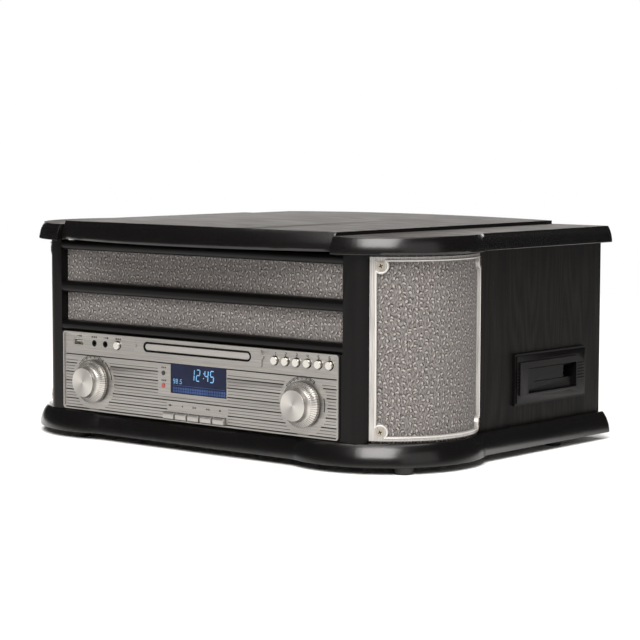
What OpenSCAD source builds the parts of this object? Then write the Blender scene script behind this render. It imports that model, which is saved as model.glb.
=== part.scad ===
// Retro music centre: record player under a lid, radio, disc drawer and cassette slot in one cabinet.
// Origin: centre of the footprint, on the surface that the feet stand on. +Z up, the front faces -Y.

/* [Cabinet] */
// Width over the side walls
body_w = 449; // [440:1:470]
// Depth from the front plane to the rear face
body_d = 326; // [322:1:350]
// Height of the walls between the plinth and the top mouldings
wall_h = 162.4; // [160:0.2:175]
// Thickness of the side walls
side_t = 9; // [7:0.5:11]
// Thickness of the back panel
back_t = 5; // [4:0.5:8]
// Height of the plinth
base_h = 19.5; // [17:0.5:24]
// Thickness of the top shoulders
slab_h = 15.4; // [14:0.2:20]
// How far the mouldings stand out past the side walls
side_over = 13; // [9:0.5:16]
// How far the mouldings stand out past the front plane
front_over = 5; // [3:0.5:8]
// How far the mouldings stand out past the corner lobes
lobe_over = 11.5; // [9:0.5:14]
// Radius of the arc that the edges of the mouldings follow
edge_r = 28; // [26:1:40]

/* [Feet] */
// Height of a foot
foot_h = 6.5; // [5:0.5:10]
// Diameter of a foot where it meets the plinth
foot_d = 18; // [14:1:22]

/* [Corner lobes] */
// Radius of the curved speaker fronts
lobe_r = 80.5; // [78:0.5:82]
// Distance of the lobe centre inside the side wall
lobe_in = 65; // [63:0.5:67]
// Distance of the lobe centre behind the front plane
lobe_back = 83; // [81:0.5:85]
// Thickness of the speaker frames
frame_t = 2.4; // [1.6:0.2:3]
// Width of the speaker frames' upper and lower borders
frame_border = 4; // [3:0.2:6]
// Width of the speaker frames' side borders
frame_side = 6.4; // [5:0.2:8]
// Width of the raised bead round the speaker frames' windows
bead_w = 1.1; // [0.8:0.1:1.6]
// Height of the raised bead round the speaker frames' windows
bead_t = 0.7; // [0.4:0.1:1.2]
// Radius of the screw lugs in the corners of the speaker frames
lug_r = 7; // [6:0.5:8]
// Diameter of the screw heads on the speaker frames
screw_head_d = 7; // [5:0.5:8]
// Diameter of the screws in the speaker frames
screw_d = 4; // [3:0.5:4.5]
// Thickness of the grille cloth on its backing
cloth_t = 1.2; // [0.8:0.1:2]
// Thickness of the speaker baffle boards
baffle_t = 9; // [6:0.5:10]
// Diameter of the speaker cutouts in the baffles
cone_d = 92; // [80:1:96]
// Outer diameter of the speaker flanges
speaker_d = 104; // [100:1:108]

/* [Front] */
// Width of the control panel
panel_w = 343.4; // [342:0.2:346]
// Height of the control panel
panel_h = 74.4; // [73:0.2:76]
// Thickness of the control panel
panel_t = 3; // [2:0.25:4]
// Width of the flat front of the corner pilasters beside the control panel
pilaster_w = 12; // [10:0.5:14]
// Radius that rounds the outer edge of a pilaster
pilaster_r = 11.6; // [10:0.2:12.4]
// Depth of the front frame
front_t = 14; // [13:0.5:16]
// Width of the two cloth strips that show in the front frame
strip_w = 349.6; // [347:0.2:352]
// Height of the rail between the control panel and the lower cloth strip
rail_low_h = 10; // [8:0.5:12]
// Height of the rail between the two cloth strips
rail_mid_h = 11; // [8:0.5:13]
// Height of the rail above the upper cloth strip
rail_top_h = 9.4; // [8:0.2:11]
// Visible height of the lower cloth strip
strip_low_h = 26.6; // [22:0.2:28]
// Depth of the cloth strips behind the front plane
strip_recess = 8.4; // [7:0.2:10]

/* [Control panel] */
// Distance of the knob centres from the middle
knob_x = 131; // [128:1:134]
// Height of the knob centres above the panel's lower edge
knob_z = 28.5; // [27:0.5:30]
// Diameter of a knob's skirt
knob_d = 41; // [36:1:43]
// Diameter of a knob's flat cap
knob_cap_d = 28; // [24:1:30]
// How far a knob stands out of the panel
knob_h = 15; // [12:0.5:18]
// Thickness of a knob's ribbed skirt
skirt_t = 3.6; // [2.5:0.1:5]
// Number of ribs round a knob's skirt
knob_ribs = 56; // [40:4:64]
// Diameter of the knob shafts
shaft_d = 6; // [5:0.5:6.5]
// Height of the row of round buttons above the panel's lower edge
row_z = 64.6; // [64:0.2:66]
// Diameter of the round buttons
button_d = 7.6; // [6:0.2:8.4]
// Distance between two round buttons
button_pitch = 12.6; // [12:0.1:13]
// How far a round button or key stands out of the panel
button_out = 2.6; // [2:0.2:4]
// Travel of a round button or key
press_travel = 1.2; // [0.8:0.1:1.6]
// Width of the display window
display_w = 69.5; // [64:0.5:70]
// Height of the display window
display_h = 27.2; // [24:0.2:28]
// Width of one key in the lower row
key_w = 13.4; // [12:0.1:13.8]
// Height of one key in the lower row
key_h = 6; // [5:0.2:6.4]
// Distance between two keys
key_pitch = 15.6; // [15.2:0.1:16]

/* [Disc drawer] */
// Width of the drawer front
drawer_w = 130.4; // [129:0.2:132]
// Height of the drawer front
drawer_h = 5.8; // [5.6:0.1:6.6]
// Length of the drawer behind its front
drawer_l = 146; // [140:1:150]
// Diameter of a disc's recess
disc_d = 121; // [120.5:0.5:122]
// How far the drawer comes out
drawer_travel = 126; // [110:1:128]
// Middle of the drawer, to the right of the panel's middle
drawer_x = 3.5; // [2:0.5:5]

/* [Cassette slot] */
// Length of the cassette bezel
bezel_l = 115; // [113:1:118]
// Height of the cassette bezel
bezel_h = 47.2; // [46:0.2:50]
// How far the bezel stands out of the side wall
bezel_out = 4; // [3:0.2:5]
// Distance of the bezel's front end behind the front plane
bezel_y = 182; // [179:0.5:185]
// Height of the bezel's lower edge above the plinth
bezel_z = 18.2; // [16:0.2:20]
// Length of the slot that a cassette goes into
slot_l = 65; // [64.2:0.2:66.2]
// Height of the slot that a cassette goes into
slot_h = 13.8; // [13:0.2:14.4]

/* [Record player] */
// Diameter of the platter
platter_d = 200; // [190:1:204]
// Diameter of the sub-ring under the platter that the belt drives
subring_d = 140; // [130:1:144]
// Diameter of the motor pulley
pulley_d = 12; // [10:0.5:14]
// Diameter of the platter's bearing spindle
spindle_d = 7.2; // [6.8:0.1:7.6]
// Distance from the arm's pivot to the stylus
arm_l = 205; // [200:1:208]
// Diameter of the arm tube
arm_d = 7; // [6:0.5:8]

/* [Lid] */
// Width of the lid
lid_w = 336; // [334:1:338]
// Thickness of the lid at its sides
lid_h = 16.5; // [15:0.5:19]
// How much the lid's top is crowned in the middle
lid_crown = 2; // [1:0.5:3]
// How far the bowed front of the lid stands out past the front plane in the middle
lid_lip = 39; // [34:1:42]
// How far the corners of the lid's front stand out past the front plane
lid_corner = 6; // [4:0.5:8]
// Height of the bumpers that the lid rests on
bumper_h = 2; // [1.6:0.2:3]
// Gap beside the lid
lid_gap = 0.8; // [0.6:0.1:1.5]

/* [Clearances] */
// Running clearance of shafts and pins, on the radius
run_gap = 0.05; // [0.02:0.01:0.1]
// Clearance around a moving button, key, drawer or flap
move_gap = 0.5; // [0.4:0.05:0.7]
// Clearance around a fixed insert or screw
fit_gap = 0.1; // [0.05:0.05:0.2]

/* [Hidden] */
$fn = 64;

// Colours
wood_black = "#2b2927";
plastic_black = "#1c1b1a";
silver = "#b9b7b2";
cloth_grey = "#76736f";

// Heights above the floor
z_wall = foot_h + base_h;
z_slab = z_wall + wall_h;
z_top = z_slab + slab_h;
z_lid = z_slab + bumper_h;
z_panel = z_wall + 1;
z_row = z_panel + row_z;
half_w = body_w / 2;

// Lid hinge: the knuckles sit just behind the rear face, level with the lid's underside
knuckle_r = 3;
knuckle_out = 3.4;
hinge_x = 110;
leaf_l = 50;
leaf_t = 1.2;
leaf_h = 20;
lid_leaf_h = 12;
front_y = -(body_d + knuckle_out + knuckle_r - lid_lip) / 2;

// Mouldings
side_x = half_w + side_over;
moulding_lobe_in = lobe_in + 2.5;
moulding_lobe_back = lobe_back - 3;
moulding_lobe_r = lobe_r + lobe_over;

// Corner lobes: the angles at which the curved frame meets the pilaster and the side wall
lobe_x = half_w - lobe_in;
pilaster_x = panel_w / 2 + pilaster_w;
pilaster_out = pilaster_x + pilaster_r;
lobe_a0 = -acos((pilaster_out + fit_gap - lobe_x) / lobe_r);
lobe_a1 = asin(sqrt(lobe_r * lobe_r - lobe_in * lobe_in) / lobe_r);
side_y = lobe_back + lobe_r * sin(lobe_a1);
cloth_r = lobe_r - frame_t - fit_gap;
frame_z0 = z_wall + 2;
frame_z1 = z_slab - 2;
border_a = asin(frame_side / lobe_r);
screw_in = 7.7;
screw_a = asin((screw_in + 2) / lobe_r);

// Speaker baffles run from the back of the front frame to the side wall's inner face
baffle_a = [pilaster_x + 2, front_t];
baffle_b = [half_w - side_t, side_y + 3];
baffle_v = baffle_b - baffle_a;
baffle_l = norm(baffle_v);
baffle_turn = atan2(baffle_v[1], baffle_v[0]);
speaker_z = (z_wall + z_slab) / 2;

// Control panel
panel_y = -0.5;
panel_back = panel_y + panel_t;
panel_lip = 1.2;
panel_rim = 1.6;
groove_w = 1;
groove_t = 1.2;
groove_z0 = z_panel + 1.72;
disc_r = 27.5;
lens_block = [-45.7, 41];
key_block = [-34, 41.5];
groove_pitch = 8.48;
board_y = 9;
board_t = 1.6;
board_margin = 6.7;
sleeve_d = 16;
pin_d = 4;
pin_l = 2.6;
collar_t = 1;
skirt_gap = 0.4;
cap_t = 2.2;
shaft_l = 17;
sleeve_l = 10;
lens_d = 4;
collar_gap = 0.3;
first_button_x = 98;
function_x = -98.6;
display_x = 5.2;
display_z = z_panel + 25.7;
lens_x = -38.8;
lamp_z = display_z + 6;
eye_z = display_z + 17.6;
key_z = z_panel + 1.4;
key_x = 0.8 - 2 * key_pitch;
usb_x = -151.2;
usb_w = 13;
usb_h = 6.2;
jack_off = [21.2, 36];
jack_x = [for (off = jack_off) usb_x + off];
jack_d = 6;
jack_bore_d = 3.6;
plate_w = 158.4;
plate_h = 15.6;
plate_x = 3.8;

// Disc drawer: its tray runs between the side cheeks of the mechanism
drawer_z = z_row + 1.4;
drawer_gap = 0.8;
tray_w = drawer_w - 2.6;
tray_t = 4.6;
mech_wall = 2.5;
mech_y = 14;
mech_l = drawer_l + 30;
mech_z0 = drawer_z - 14;
mech_z1 = drawer_z + 14;

// Cassette slot
opening_y0 = bezel_y + 18.8;
opening_z0 = z_wall + bezel_z + 13.4;
push_w = 11;
push_h = 19;
push_travel = 3;
divider_w = 1;
push_y0 = opening_y0 - move_gap;
slot_y0 = push_y0 + push_w + 2 * move_gap + divider_w;
slot_z0 = opening_z0 + 6.2;
flap_l = 48;
inner_y0 = bezel_y + 5;
inner_rim = 2.2;
inner_z0 = z_wall + bezel_z + 9.4;
inner_z1 = z_wall + bezel_z + 39.4;
lip_bow = 1.8;
rib_pitch = 2.8;
rib_d = 1.5;
rib_z0 = z_wall + bezel_z + 17.5;
flap_t = 1.6;
flap_pin_d = 2;
flap_pin_x = half_w - 0.4;
flap_pin_z = slot_z0 + slot_h - 1.4;
tape_box_l = 102;
tape_wall = 2;
tape_under = 14;
tape_over = 8;

// Record player: deck tray between the front frame and the back panel
deck_wall = 2.4;
deck_x = lid_w / 2 - 2;
deck_y0 = front_t;
deck_y1 = body_d - back_t;
deck_z = z_slab - 38;
deck_floor = 3;
deck_flange = 10;
platter_x = -11;
platter_rear = 153.5;
platter_y = deck_y1 - platter_rear;
platter_z = deck_z + 1.5;
platter_h = 8;
platter_wall = 3;
mat_t = 2;
hub_d = 14;
spindle_l = 8;
subring_w = 4;
pulley_off = 60;
pulley_x = platter_x - pulley_off;
pulley_y = platter_y - pulley_off;
pulley_h = 5;
motor_d = 34;
motor_h = 22;
motor_shaft_d = 2;
motor_shaft_in = motor_h - 6;
belt_w = 4;
belt_t = 0.8;
belt_gap = 0.3;
pivot_right = 148;
pivot_rear = 114;
pivot_x = platter_x + pivot_right;
pivot_y = platter_y + pivot_rear;
arm_rest_l = 150;
arm_tail = 30;
weight_d = 16;
weight_l = 16;
head_l = 34;
head_w = 16;
arm_z = deck_z + 22;
yoke_d = 22;
post_d = 8;
switch_x = 144;
switch_y = 42;
switch_travel = 12;

// Lid: the bowed front is an arc through the two front corners
bow = lid_lip - lid_corner;
bow_r = (lid_w * lid_w / 4 + bow * bow) / (2 * bow);
lid_pocket = 8;
lid_rim = 14;

// Moves its children from the front plane's own coordinates to the part's
module at_front() {
    translate([0, front_y, 0]) children();
}

// Draws its children at +X and mirrored at -X
module both_sides() {
    children();
    mirror([1, 0, 0]) children();
}

// Edge of a moulding: straight inside, following an arc outside, reach wide and h high
module edge_profile(reach, h) {
    square([reach - edge_r, h]);
    intersection() {
        square([reach, h]);
        translate([reach - edge_r, 0]) circle(r = edge_r, $fn = 128);
    }
}

// Top shoulder or plinth outline with its rounded edge, from z = 0 up to h, full depth
module moulding(h) {
    side_reach = side_x;
    front_reach = body_d + front_over;
    both_sides() {
        translate([0, body_d, 0]) rotate([90, 0, 0])
            linear_extrude(body_d - moulding_lobe_back) edge_profile(side_reach, h);
        translate([half_w - moulding_lobe_in, moulding_lobe_back, 0])
            rotate_extrude($fn = 128) edge_profile(moulding_lobe_r, h);
    }
    translate([half_w - moulding_lobe_in, body_d, 0]) rotate([90, 0, -90])
        linear_extrude(2 * (half_w - moulding_lobe_in)) edge_profile(front_reach, h);
}

// Part of a lobe-shaped shell between two angles and two heights
module lobe_shell(r, t, a0, a1, z0, z1) {
    translate([lobe_x, lobe_back, z0]) rotate([0, 0, a0])
        rotate_extrude(angle = a1 - a0, $fn = 128)
            translate([r - t, 0]) square([t, z1 - z0]);
}

// Places its children on the lobe's surface, pointing out along +X, at an angle and a height
module on_lobe(a, z) {
    translate([lobe_x, lobe_back, z]) rotate([0, 0, a]) children();
}

// Screw places in the four corners of the right speaker frame
module frame_corners() {
    for (a = [lobe_a0 + screw_a, lobe_a1 - screw_a], z = [frame_z0 + screw_in, frame_z1 - screw_in])
        on_lobe(a, z) children();
}

// Places its children on the outer face of the right baffle, pointing out along +Z
module on_baffle() {
    translate([baffle_a[0], baffle_a[1], speaker_z]) rotate([0, 0, baffle_turn])
        translate([baffle_l / 2, 0, 0]) rotate([90, 0, 0]) children();
}

// Cylinder along Y from y0 to y1
module rod_y(x, y0, y1, z, d) {
    translate([x, y1, z]) rotate([90, 0, 0]) cylinder(d = d, h = y1 - y0);
}

// Slab with round ends, w wide and h high, from y0 to y1
module stadium_y(x, y0, y1, z, w, h) {
    translate([x, y1, z]) rotate([90, 0, 0]) linear_extrude(y1 - y0) {
        square([w - h, h], center = true);
        for (s = [-1, 1]) translate([s * (w - h) / 2, 0]) circle(d = h);
    }
}

// Plate in the XZ plane with rounded corners, from y0 to y1
module plate_y(x0, x1, z0, z1, y0, y1, r) {
    translate([0, y1, 0]) rotate([90, 0, 0]) linear_extrude(y1 - y0) {
        translate([x0 + r, z0]) square([x1 - x0 - 2 * r, z1 - z0]);
        translate([x0, z0 + r]) square([x1 - x0, z1 - z0 - 2 * r]);
        for (x = [x0 + r, x1 - r], z = [z0 + r, z1 - r]) translate([x, z]) circle(r = r);
    }
}

module base_plinth() {
    color(plastic_black) at_front() translate([0, 0, foot_h]) moulding(base_h);
}

module feet() {
    rear_y = body_d - 69;
    places = [[-half_w + 69, 8], [half_w - 4, 28], [half_w - 6, rear_y], [-half_w + 6, rear_y]];
    color("#161616") at_front() for (p = places)
        translate([p[0], p[1], 0]) cylinder(d1 = foot_d - 2.5, d2 = foot_d, h = foot_h);
}

// Right-hand side wall; with the cassette opening cut through it if wanted
module side_wall(with_slot) {
    difference() {
        translate([half_w - side_t, side_y, z_wall])
            cube([side_t, body_d - side_y, wall_h]);
        if (with_slot)
            translate([half_w - side_t - 1, bezel_y + 8, z_wall + bezel_z + 5])
                cube([side_t + 2, bezel_l - 16, bezel_h - 10]);
    }
}

module side_panel_left() {
    color(wood_black) at_front() mirror([1, 0, 0]) side_wall(false);
}

module side_panel_right() {
    color(wood_black) at_front() side_wall(true);
}

module back_panel() {
    vent_l = 60;
    color(plastic_black) at_front() difference() {
        translate([-half_w + side_t, body_d - back_t, z_wall])
            cube([body_w - 2 * side_t, back_t, wall_h]);
        for (i = [0:5]) translate([main_x0 + 45, body_d - back_t - 1, z_wall + 60 + i * 9])
            cube([vent_l, back_t + 2, 4]);
        line_out_cutout();
        mains_cutout();
    }
}

// Plan of the front frame: flat front with quarter-round outer edges
module frame_plan() {
    translate([-pilaster_x, 0]) square([2 * pilaster_x, front_t]);
    both_sides() difference() {
        union() {
            translate([pilaster_x, pilaster_r]) circle(r = pilaster_r, $fn = 96);
            translate([pilaster_x - 1, pilaster_r])
                square([pilaster_r + 1, front_t - pilaster_r]);
        }
        translate([lobe_x, lobe_back]) rotate(lobe_a0 - 0.1) square([lobe_r + 5, lobe_r]);
        translate([pilaster_x - pilaster_r - 1, front_t]) square(2 * pilaster_r + 2);
    }
}

z_rail_low = z_panel + panel_h + 0.2;
z_strip_low = z_rail_low + rail_low_h;
z_rail_mid = z_strip_low + strip_low_h;
z_strip_up = z_rail_mid + rail_mid_h;
z_rail_top = z_slab - rail_top_h;

// Rail with a half-round front edge across the front frame
module rail(z0, h) {
    r = min(h, strip_recess) / 2;
    translate([-strip_w / 2 - 1, 0, z0]) rotate([90, 0, 90]) linear_extrude(strip_w + 2) {
        translate([r, 0]) square([front_t - r, h]);
        translate([0, r]) square([front_t, h - 2 * r]);
        for (z = [r, h - r]) translate([r, z]) circle(r = r);
    }
}

module front_frame() {
    color(plastic_black) at_front() {
        difference() {
            translate([0, 0, z_wall]) linear_extrude(wall_h) frame_plan();
            translate([-strip_w / 2, -1, z_rail_low])
                cube([strip_w, front_t + 2, z_slab - z_rail_low + 1]);
            translate([-panel_w / 2 - 0.2, -1, z_panel - 0.2])
                cube([panel_w + 0.4, front_t + 2, panel_h + 2]);
        }
        rail(z_rail_low, rail_low_h);
        rail(z_rail_mid, rail_mid_h);
        rail(z_rail_top, rail_top_h);
    }
}

module cloth_strips() {
    color(cloth_grey) at_front() for (z = [z_strip_low, z_strip_up]) {
        top = z == z_strip_low ? z_rail_mid : z_rail_top;
        translate([-strip_w / 2, strip_recess, z]) cube([strip_w, front_t - strip_recess, top - z]);
    }
}

// Window of the speaker frame, larger all round by a margin, with the corners that the lugs keep
module frame_window(margin) {
    a = asin(margin / lobe_r);
    difference() {
        lobe_shell(lobe_r + 2, frame_t + 3, lobe_a0 + border_a - a, lobe_a1 - border_a + a,
            frame_z0 + frame_border - margin, frame_z1 - frame_border + margin);
        frame_corners() rotate([0, 90, 0]) cylinder(r = lug_r - margin, h = lobe_r + 5);
    }
}

// Curved speaker frame with its four screw lugs and the bead round its window, on the right
module speaker_frame() {
    difference() {
        union() {
            lobe_shell(lobe_r, frame_t, lobe_a0, lobe_a1 - 0.3, frame_z0, frame_z1);
            intersection() {
                lobe_shell(lobe_r + bead_t, bead_t + 0.5, lobe_a0, lobe_a1 - 0.3, frame_z0, frame_z1);
                frame_window(bead_w);
            }
        }
        frame_window(0);
        frame_corners() rotate([0, 90, 0]) cylinder(d = screw_d + 2 * fit_gap, h = lobe_r + 5);
    }
}

module speaker_frame_left() {
    color(silver) at_front() mirror([1, 0, 0]) speaker_frame();
}

module speaker_frame_right() {
    color(silver) at_front() speaker_frame();
}

// Cloth on its curved backing board, behind the frame
module speaker_cloth() {
    difference() {
        lobe_shell(cloth_r, cloth_t, lobe_a0 + 1, lobe_a1 - 1, z_wall, z_slab);
        frame_corners() rotate([0, 90, 0]) cylinder(d = screw_d + 2 * fit_gap, h = lobe_r + 5);
    }
}

module speaker_cloth_left() {
    color(cloth_grey) at_front() mirror([1, 0, 0]) speaker_cloth();
}

module speaker_cloth_right() {
    color(cloth_grey) at_front() speaker_cloth();
}

module speaker_baffles() {
    color("#8a6f4d") at_front() both_sides() difference() {
        translate([baffle_a[0], baffle_a[1], z_wall]) rotate([0, 0, baffle_turn])
            cube([baffle_l, baffle_t, wall_h]);
        on_baffle() translate([0, 0, -baffle_t - 1]) cylinder(d = cone_d, h = baffle_t + 2);
    }
}

// Loudspeaker: flange on the baffle, basket through it, magnet behind
module speaker_driver() {
    basket = 24;
    magnet_d = 50;
    magnet_h = 14;
    on_baffle() rotate_extrude($fn = 96) polygon([[cone_d / 2 - 6, 0], [speaker_d / 2, 0],
        [speaker_d / 2, 2], [cone_d / 2 - 6, 2], [16, -14], [12, -8], [0, -6],
        [0, -basket - magnet_h], [magnet_d / 2, -basket - magnet_h], [magnet_d / 2, -basket],
        [cone_d / 2 - 8, -4]]);
}

module speaker_driver_left() {
    color("#3a3836") at_front() mirror([1, 0, 0]) speaker_driver();
}

module speaker_driver_right() {
    color("#3a3836") at_front() speaker_driver();
}

module frame_screws() {
    head_t = 1.2;
    color("#d8c9a6") at_front() both_sides() frame_corners() {
        translate([cloth_r - cloth_t, 0, 0]) rotate([0, 90, 0])
            cylinder(d = screw_d, h = lobe_r + head_t / 2 - cloth_r + cloth_t);
        translate([lobe_r, 0, 0]) rotate([0, 90, 0]) cylinder(d = screw_head_d, h = head_t);
    }
}

// Right-hand top shoulder: the moulding beyond the lid's side
module top_shoulder() {
    seam = lid_w / 2 + lid_gap;
    intersection() {
        translate([0, 0, z_slab]) moulding(slab_h);
        translate([seam, -60, z_slab - 1]) cube([body_w, body_d + 60, slab_h + 2]);
    }
}

module top_shoulder_left() {
    color(wood_black) at_front() mirror([1, 0, 0]) top_shoulder();
}

module top_shoulder_right() {
    color(wood_black) at_front() top_shoulder();
}

// X of the round button number i, counted from 0
function button_x(i) = first_button_x + i * button_pitch;

// X of the left edge of the key number i, counted from 0
function key_left(i) = key_x + i * key_pitch - key_w / 2;

// Hole for a rectangular insert, w wide and h high, round its middle
module insert_cutout(x, z, w, h) {
    translate([x - w / 2 - fit_gap, -9, z - h / 2 - fit_gap])
        cube([w + 2 * fit_gap, 18, h + 2 * fit_gap]);
}

// Groove number i across the panel, counted from the bottom: it stops at the dials and the blocks
module panel_groove(i) {
    z = groove_z0 + i * groove_pitch;
    block = i == 1 ? key_block : i > 2 && i < 6 ? lens_block : [0, 0];
    difference() {
        translate([-panel_w / 2 + 3, panel_y - 2, z - groove_w / 2])
            cube([panel_w - 6, groove_t + 2, groove_w]);
        if (i < 6)
            for (s = [-1, 1]) rod_y(s * knob_x, -5, 5, z_panel + knob_z, 2 * disc_r);
        if (block[1] > block[0])
            translate([block[0], -5, z - groove_w]) cube([block[1] - block[0], 10, 2 * groove_w]);
    }
}

module control_panel() {
    hw = panel_w / 2;
    z1 = z_panel + panel_h;
    color(silver) at_front() difference() {
        union() {
            plate_y(-hw, hw, z_panel, z1, panel_y, panel_back, 3);
            difference() {
                plate_y(-hw, hw, z_panel, z1, panel_y - panel_lip, panel_back, 3);
                plate_y(-hw + panel_rim, hw - panel_rim, z_panel + panel_rim, z1 - panel_rim, -9,
                    panel_y, 2);
            }
            plate_y(plate_x - plate_w / 2, plate_x + plate_w / 2, z_row - plate_h / 2 + 0.6,
                z_row + plate_h / 2 + 0.6, panel_y - 1, panel_back, 2);
            for (s = [-1, 1]) rod_y(plate_x + s * plate_w / 2, panel_y - 1.8, panel_back, z_row + 2, 5);
        }
        for (i = [0:6]) panel_groove(i);
        stadium_y(drawer_x, -9, 9, drawer_z, drawer_w + 2 * drawer_gap, drawer_h + 2 * drawer_gap);
        for (s = [-1, 1]) rod_y(s * knob_x, -9, 9, z_panel + knob_z, shaft_d + 1);
        for (i = [0:5]) rod_y(button_x(i), -9, 9, z_row, button_d + 2 * move_gap);
        rod_y(function_x, -9, 9, z_row, button_d + 2 * move_gap);
        for (x = jack_x) rod_y(x, -9, 9, z_row, jack_d + 2 * fit_gap);
        insert_cutout(usb_x, z_row, usb_w, usb_h);
        insert_cutout(display_x, display_z + display_h / 2, display_w, display_h);
        for (z = [lamp_z, eye_z]) rod_y(lens_x, -9, 9, z, lens_d + 2 * fit_gap);
        for (i = [0:4]) translate([key_left(i) - move_gap, -9, key_z - move_gap])
            cube([key_w + 2 * move_gap, 18, key_h + 2 * move_gap]);
    }
}

module display_window() {
    color("#27305a") at_front() translate([display_x - display_w / 2, panel_y + 0.3, display_z])
        cube([display_w, board_y - panel_y - 0.3, display_h]);
}

module remote_eye() {
    color("#1a1014") at_front() rod_y(lens_x, panel_y - 0.6, board_y, eye_z, lens_d);
}

module power_lamp() {
    color("#e0524a") at_front() rod_y(lens_x, panel_y - 0.6, board_y, lamp_z, lens_d);
}

// Shell of the socket, open at the front, with its contact tongue inside
module usb_socket() {
    wall = 0.6;
    color("#c9c4b8") at_front() translate([usb_x, panel_y + 0.2, z_row]) {
        difference() {
            translate([-usb_w / 2, 0, -usb_h / 2]) cube([usb_w, board_y - panel_y - 0.2, usb_h]);
            translate([-usb_w / 2 + wall, -1, -usb_h / 2 + wall])
                cube([usb_w - 2 * wall, 8, usb_h - 2 * wall]);
        }
        translate([-usb_w / 2 + 1.6, 1.5, 0.5]) cube([usb_w - 3.2, 6, 1.2]);
    }
}

module jack_sockets() {
    color("#141414") at_front() for (x = jack_x) difference() {
        rod_y(x, panel_y + 0.2, board_y, z_row, jack_d);
        rod_y(x, panel_y - 1, board_y - 1, z_row, jack_bore_d);
    }
}

// Round button with the collar that keeps it behind the panel
module round_button(x) {
    rod_y(x, panel_y - button_out, panel_back + collar_gap + collar_t, z_row, button_d);
    rod_y(x, panel_back + collar_gap, panel_back + collar_gap + collar_t, z_row, button_d + 2.6);
}

module function_button() {
    color(silver) at_front() round_button(function_x);
}

module track_button_1() {
    color(silver) at_front() round_button(button_x(0));
}

module track_button_2() {
    color(silver) at_front() round_button(button_x(1));
}

module track_button_3() {
    color(silver) at_front() round_button(button_x(2));
}

module track_button_4() {
    color(silver) at_front() round_button(button_x(3));
}

module track_button_5() {
    color(silver) at_front() round_button(button_x(4));
}

module track_button_6() {
    color(silver) at_front() round_button(button_x(5));
}

// Key with a rounded front and the flange that keeps it behind the panel
module key(i) {
    nose = 1.6;
    x0 = key_left(i);
    y0 = panel_y - panel_lip - button_out + 0.6;
    y1 = panel_back + collar_gap;
    translate([x0, y0 + nose, key_z]) cube([key_w, y1 + collar_t - y0 - nose, key_h]);
    translate([x0, y0, key_z + nose]) cube([key_w, nose, key_h - 2 * nose]);
    for (z = [key_z + nose, key_z + key_h - nose])
        translate([x0, y0 + nose, z]) rotate([0, 90, 0]) cylinder(r = nose, h = key_w);
    translate([x0 - 0.8, y1, key_z - 0.6]) cube([key_w + 1.6, collar_t, key_h + 1.6]);
}

module play_key_1() {
    color(silver) at_front() key(0);
}

module play_key_2() {
    color(silver) at_front() key(1);
}

module play_key_3() {
    color(silver) at_front() key(2);
}

module play_key_4() {
    color(silver) at_front() key(3);
}

module play_key_5() {
    color(silver) at_front() key(4);
}

// Knob with a flat cap, a flared neck, ribs down to the skirt, and the shaft that turns in the board's sleeve
module knob(x) {
    l = knob_h - panel_lip - skirt_gap;
    neck_r = knob_cap_d / 2 - 0.6;
    flare_z = skirt_t + 1;
    neck_z = l - cap_t;
    rib_top = skirt_t + 3.6;
    flare = knob_d / 2 - 2.4 - neck_r;
    flare_r = (flare * flare + pow(neck_z - flare_z, 2)) / (2 * flare);
    translate([x, panel_y - panel_lip - skirt_gap, z_panel + knob_z]) rotate([90, 0, 0]) {
        for (i = [0:knob_ribs - 1]) rotate(i * 360 / knob_ribs)
            rotate_extrude(angle = 180 / knob_ribs, $fn = 96) polygon([[neck_r + 1, 0.5],
                [knob_d / 2, 0.5], [knob_d / 2, skirt_t], [neck_r + 1.8, rib_top]]);
        rotate_extrude($fn = 96) difference() {
            polygon([[0, 0], [knob_d / 2 - 0.7, 0], [knob_d / 2 - 0.7, skirt_t - 0.6],
                [neck_r + flare, flare_z], [neck_r, neck_z], [knob_cap_d / 2, neck_z],
                [knob_cap_d / 2, l - 0.4], [knob_cap_d / 2 - 0.4, l], [0, l]]);
            translate([neck_r + flare_r, neck_z]) circle(r = flare_r, $fn = 96);
        }
        translate([0, 0, -shaft_l]) cylinder(d = shaft_d, h = shaft_l + 2);
    }
}

module volume_knob() {
    color(silver) at_front() knob(-knob_x);
}

module tuning_knob() {
    color(silver) at_front() knob(knob_x);
}

module front_circuit_board() {
    color("#2f6b3f") at_front() difference() {
        union() {
            translate([-panel_w / 2 + board_margin, board_y, z_panel + 2])
                cube([panel_w - 2 * board_margin, board_t, panel_h - 6]);
            for (s = [-1, 1]) rod_y(s * knob_x, board_y, board_y + sleeve_l, z_panel + knob_z, sleeve_d);
            for (i = [0:5]) rod_y(button_x(i), board_y - pin_l, board_y, z_row, pin_d);
            rod_y(function_x, board_y - pin_l, board_y, z_row, pin_d);
            for (i = [0:4])
                rod_y(key_left(i) + key_w / 2, board_y - pin_l, board_y, key_z + key_h / 2, pin_d);
        }
        for (s = [-1, 1])
            rod_y(s * knob_x, board_y - 1, board_y + sleeve_l + 1, z_panel + knob_z,
                shaft_d + 2 * run_gap);
        translate([drawer_x - drawer_w / 2 - 8, board_y - 1, mech_z0 - 1])
            cube([drawer_w + 16, board_t + 2, 40]);
    }
}

module cd_drawer() {
    front_t = 2.5;
    color(silver) at_front() difference() {
        union() {
            stadium_y(drawer_x, panel_y - 0.6, panel_y - 0.6 + front_t, drawer_z, drawer_w, drawer_h);
            translate([drawer_x - tray_w / 2, panel_y, drawer_z - tray_t / 2])
                cube([tray_w, drawer_l, tray_t]);
        }
        translate([drawer_x, disc_d / 2 + 6, drawer_z - 0.6]) cylinder(d = disc_d, h = 6);
        translate([drawer_x - 12, disc_d / 2 + 6, drawer_z - 4]) cube([24, disc_d / 2 + 10, 8]);
    }
}

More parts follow.
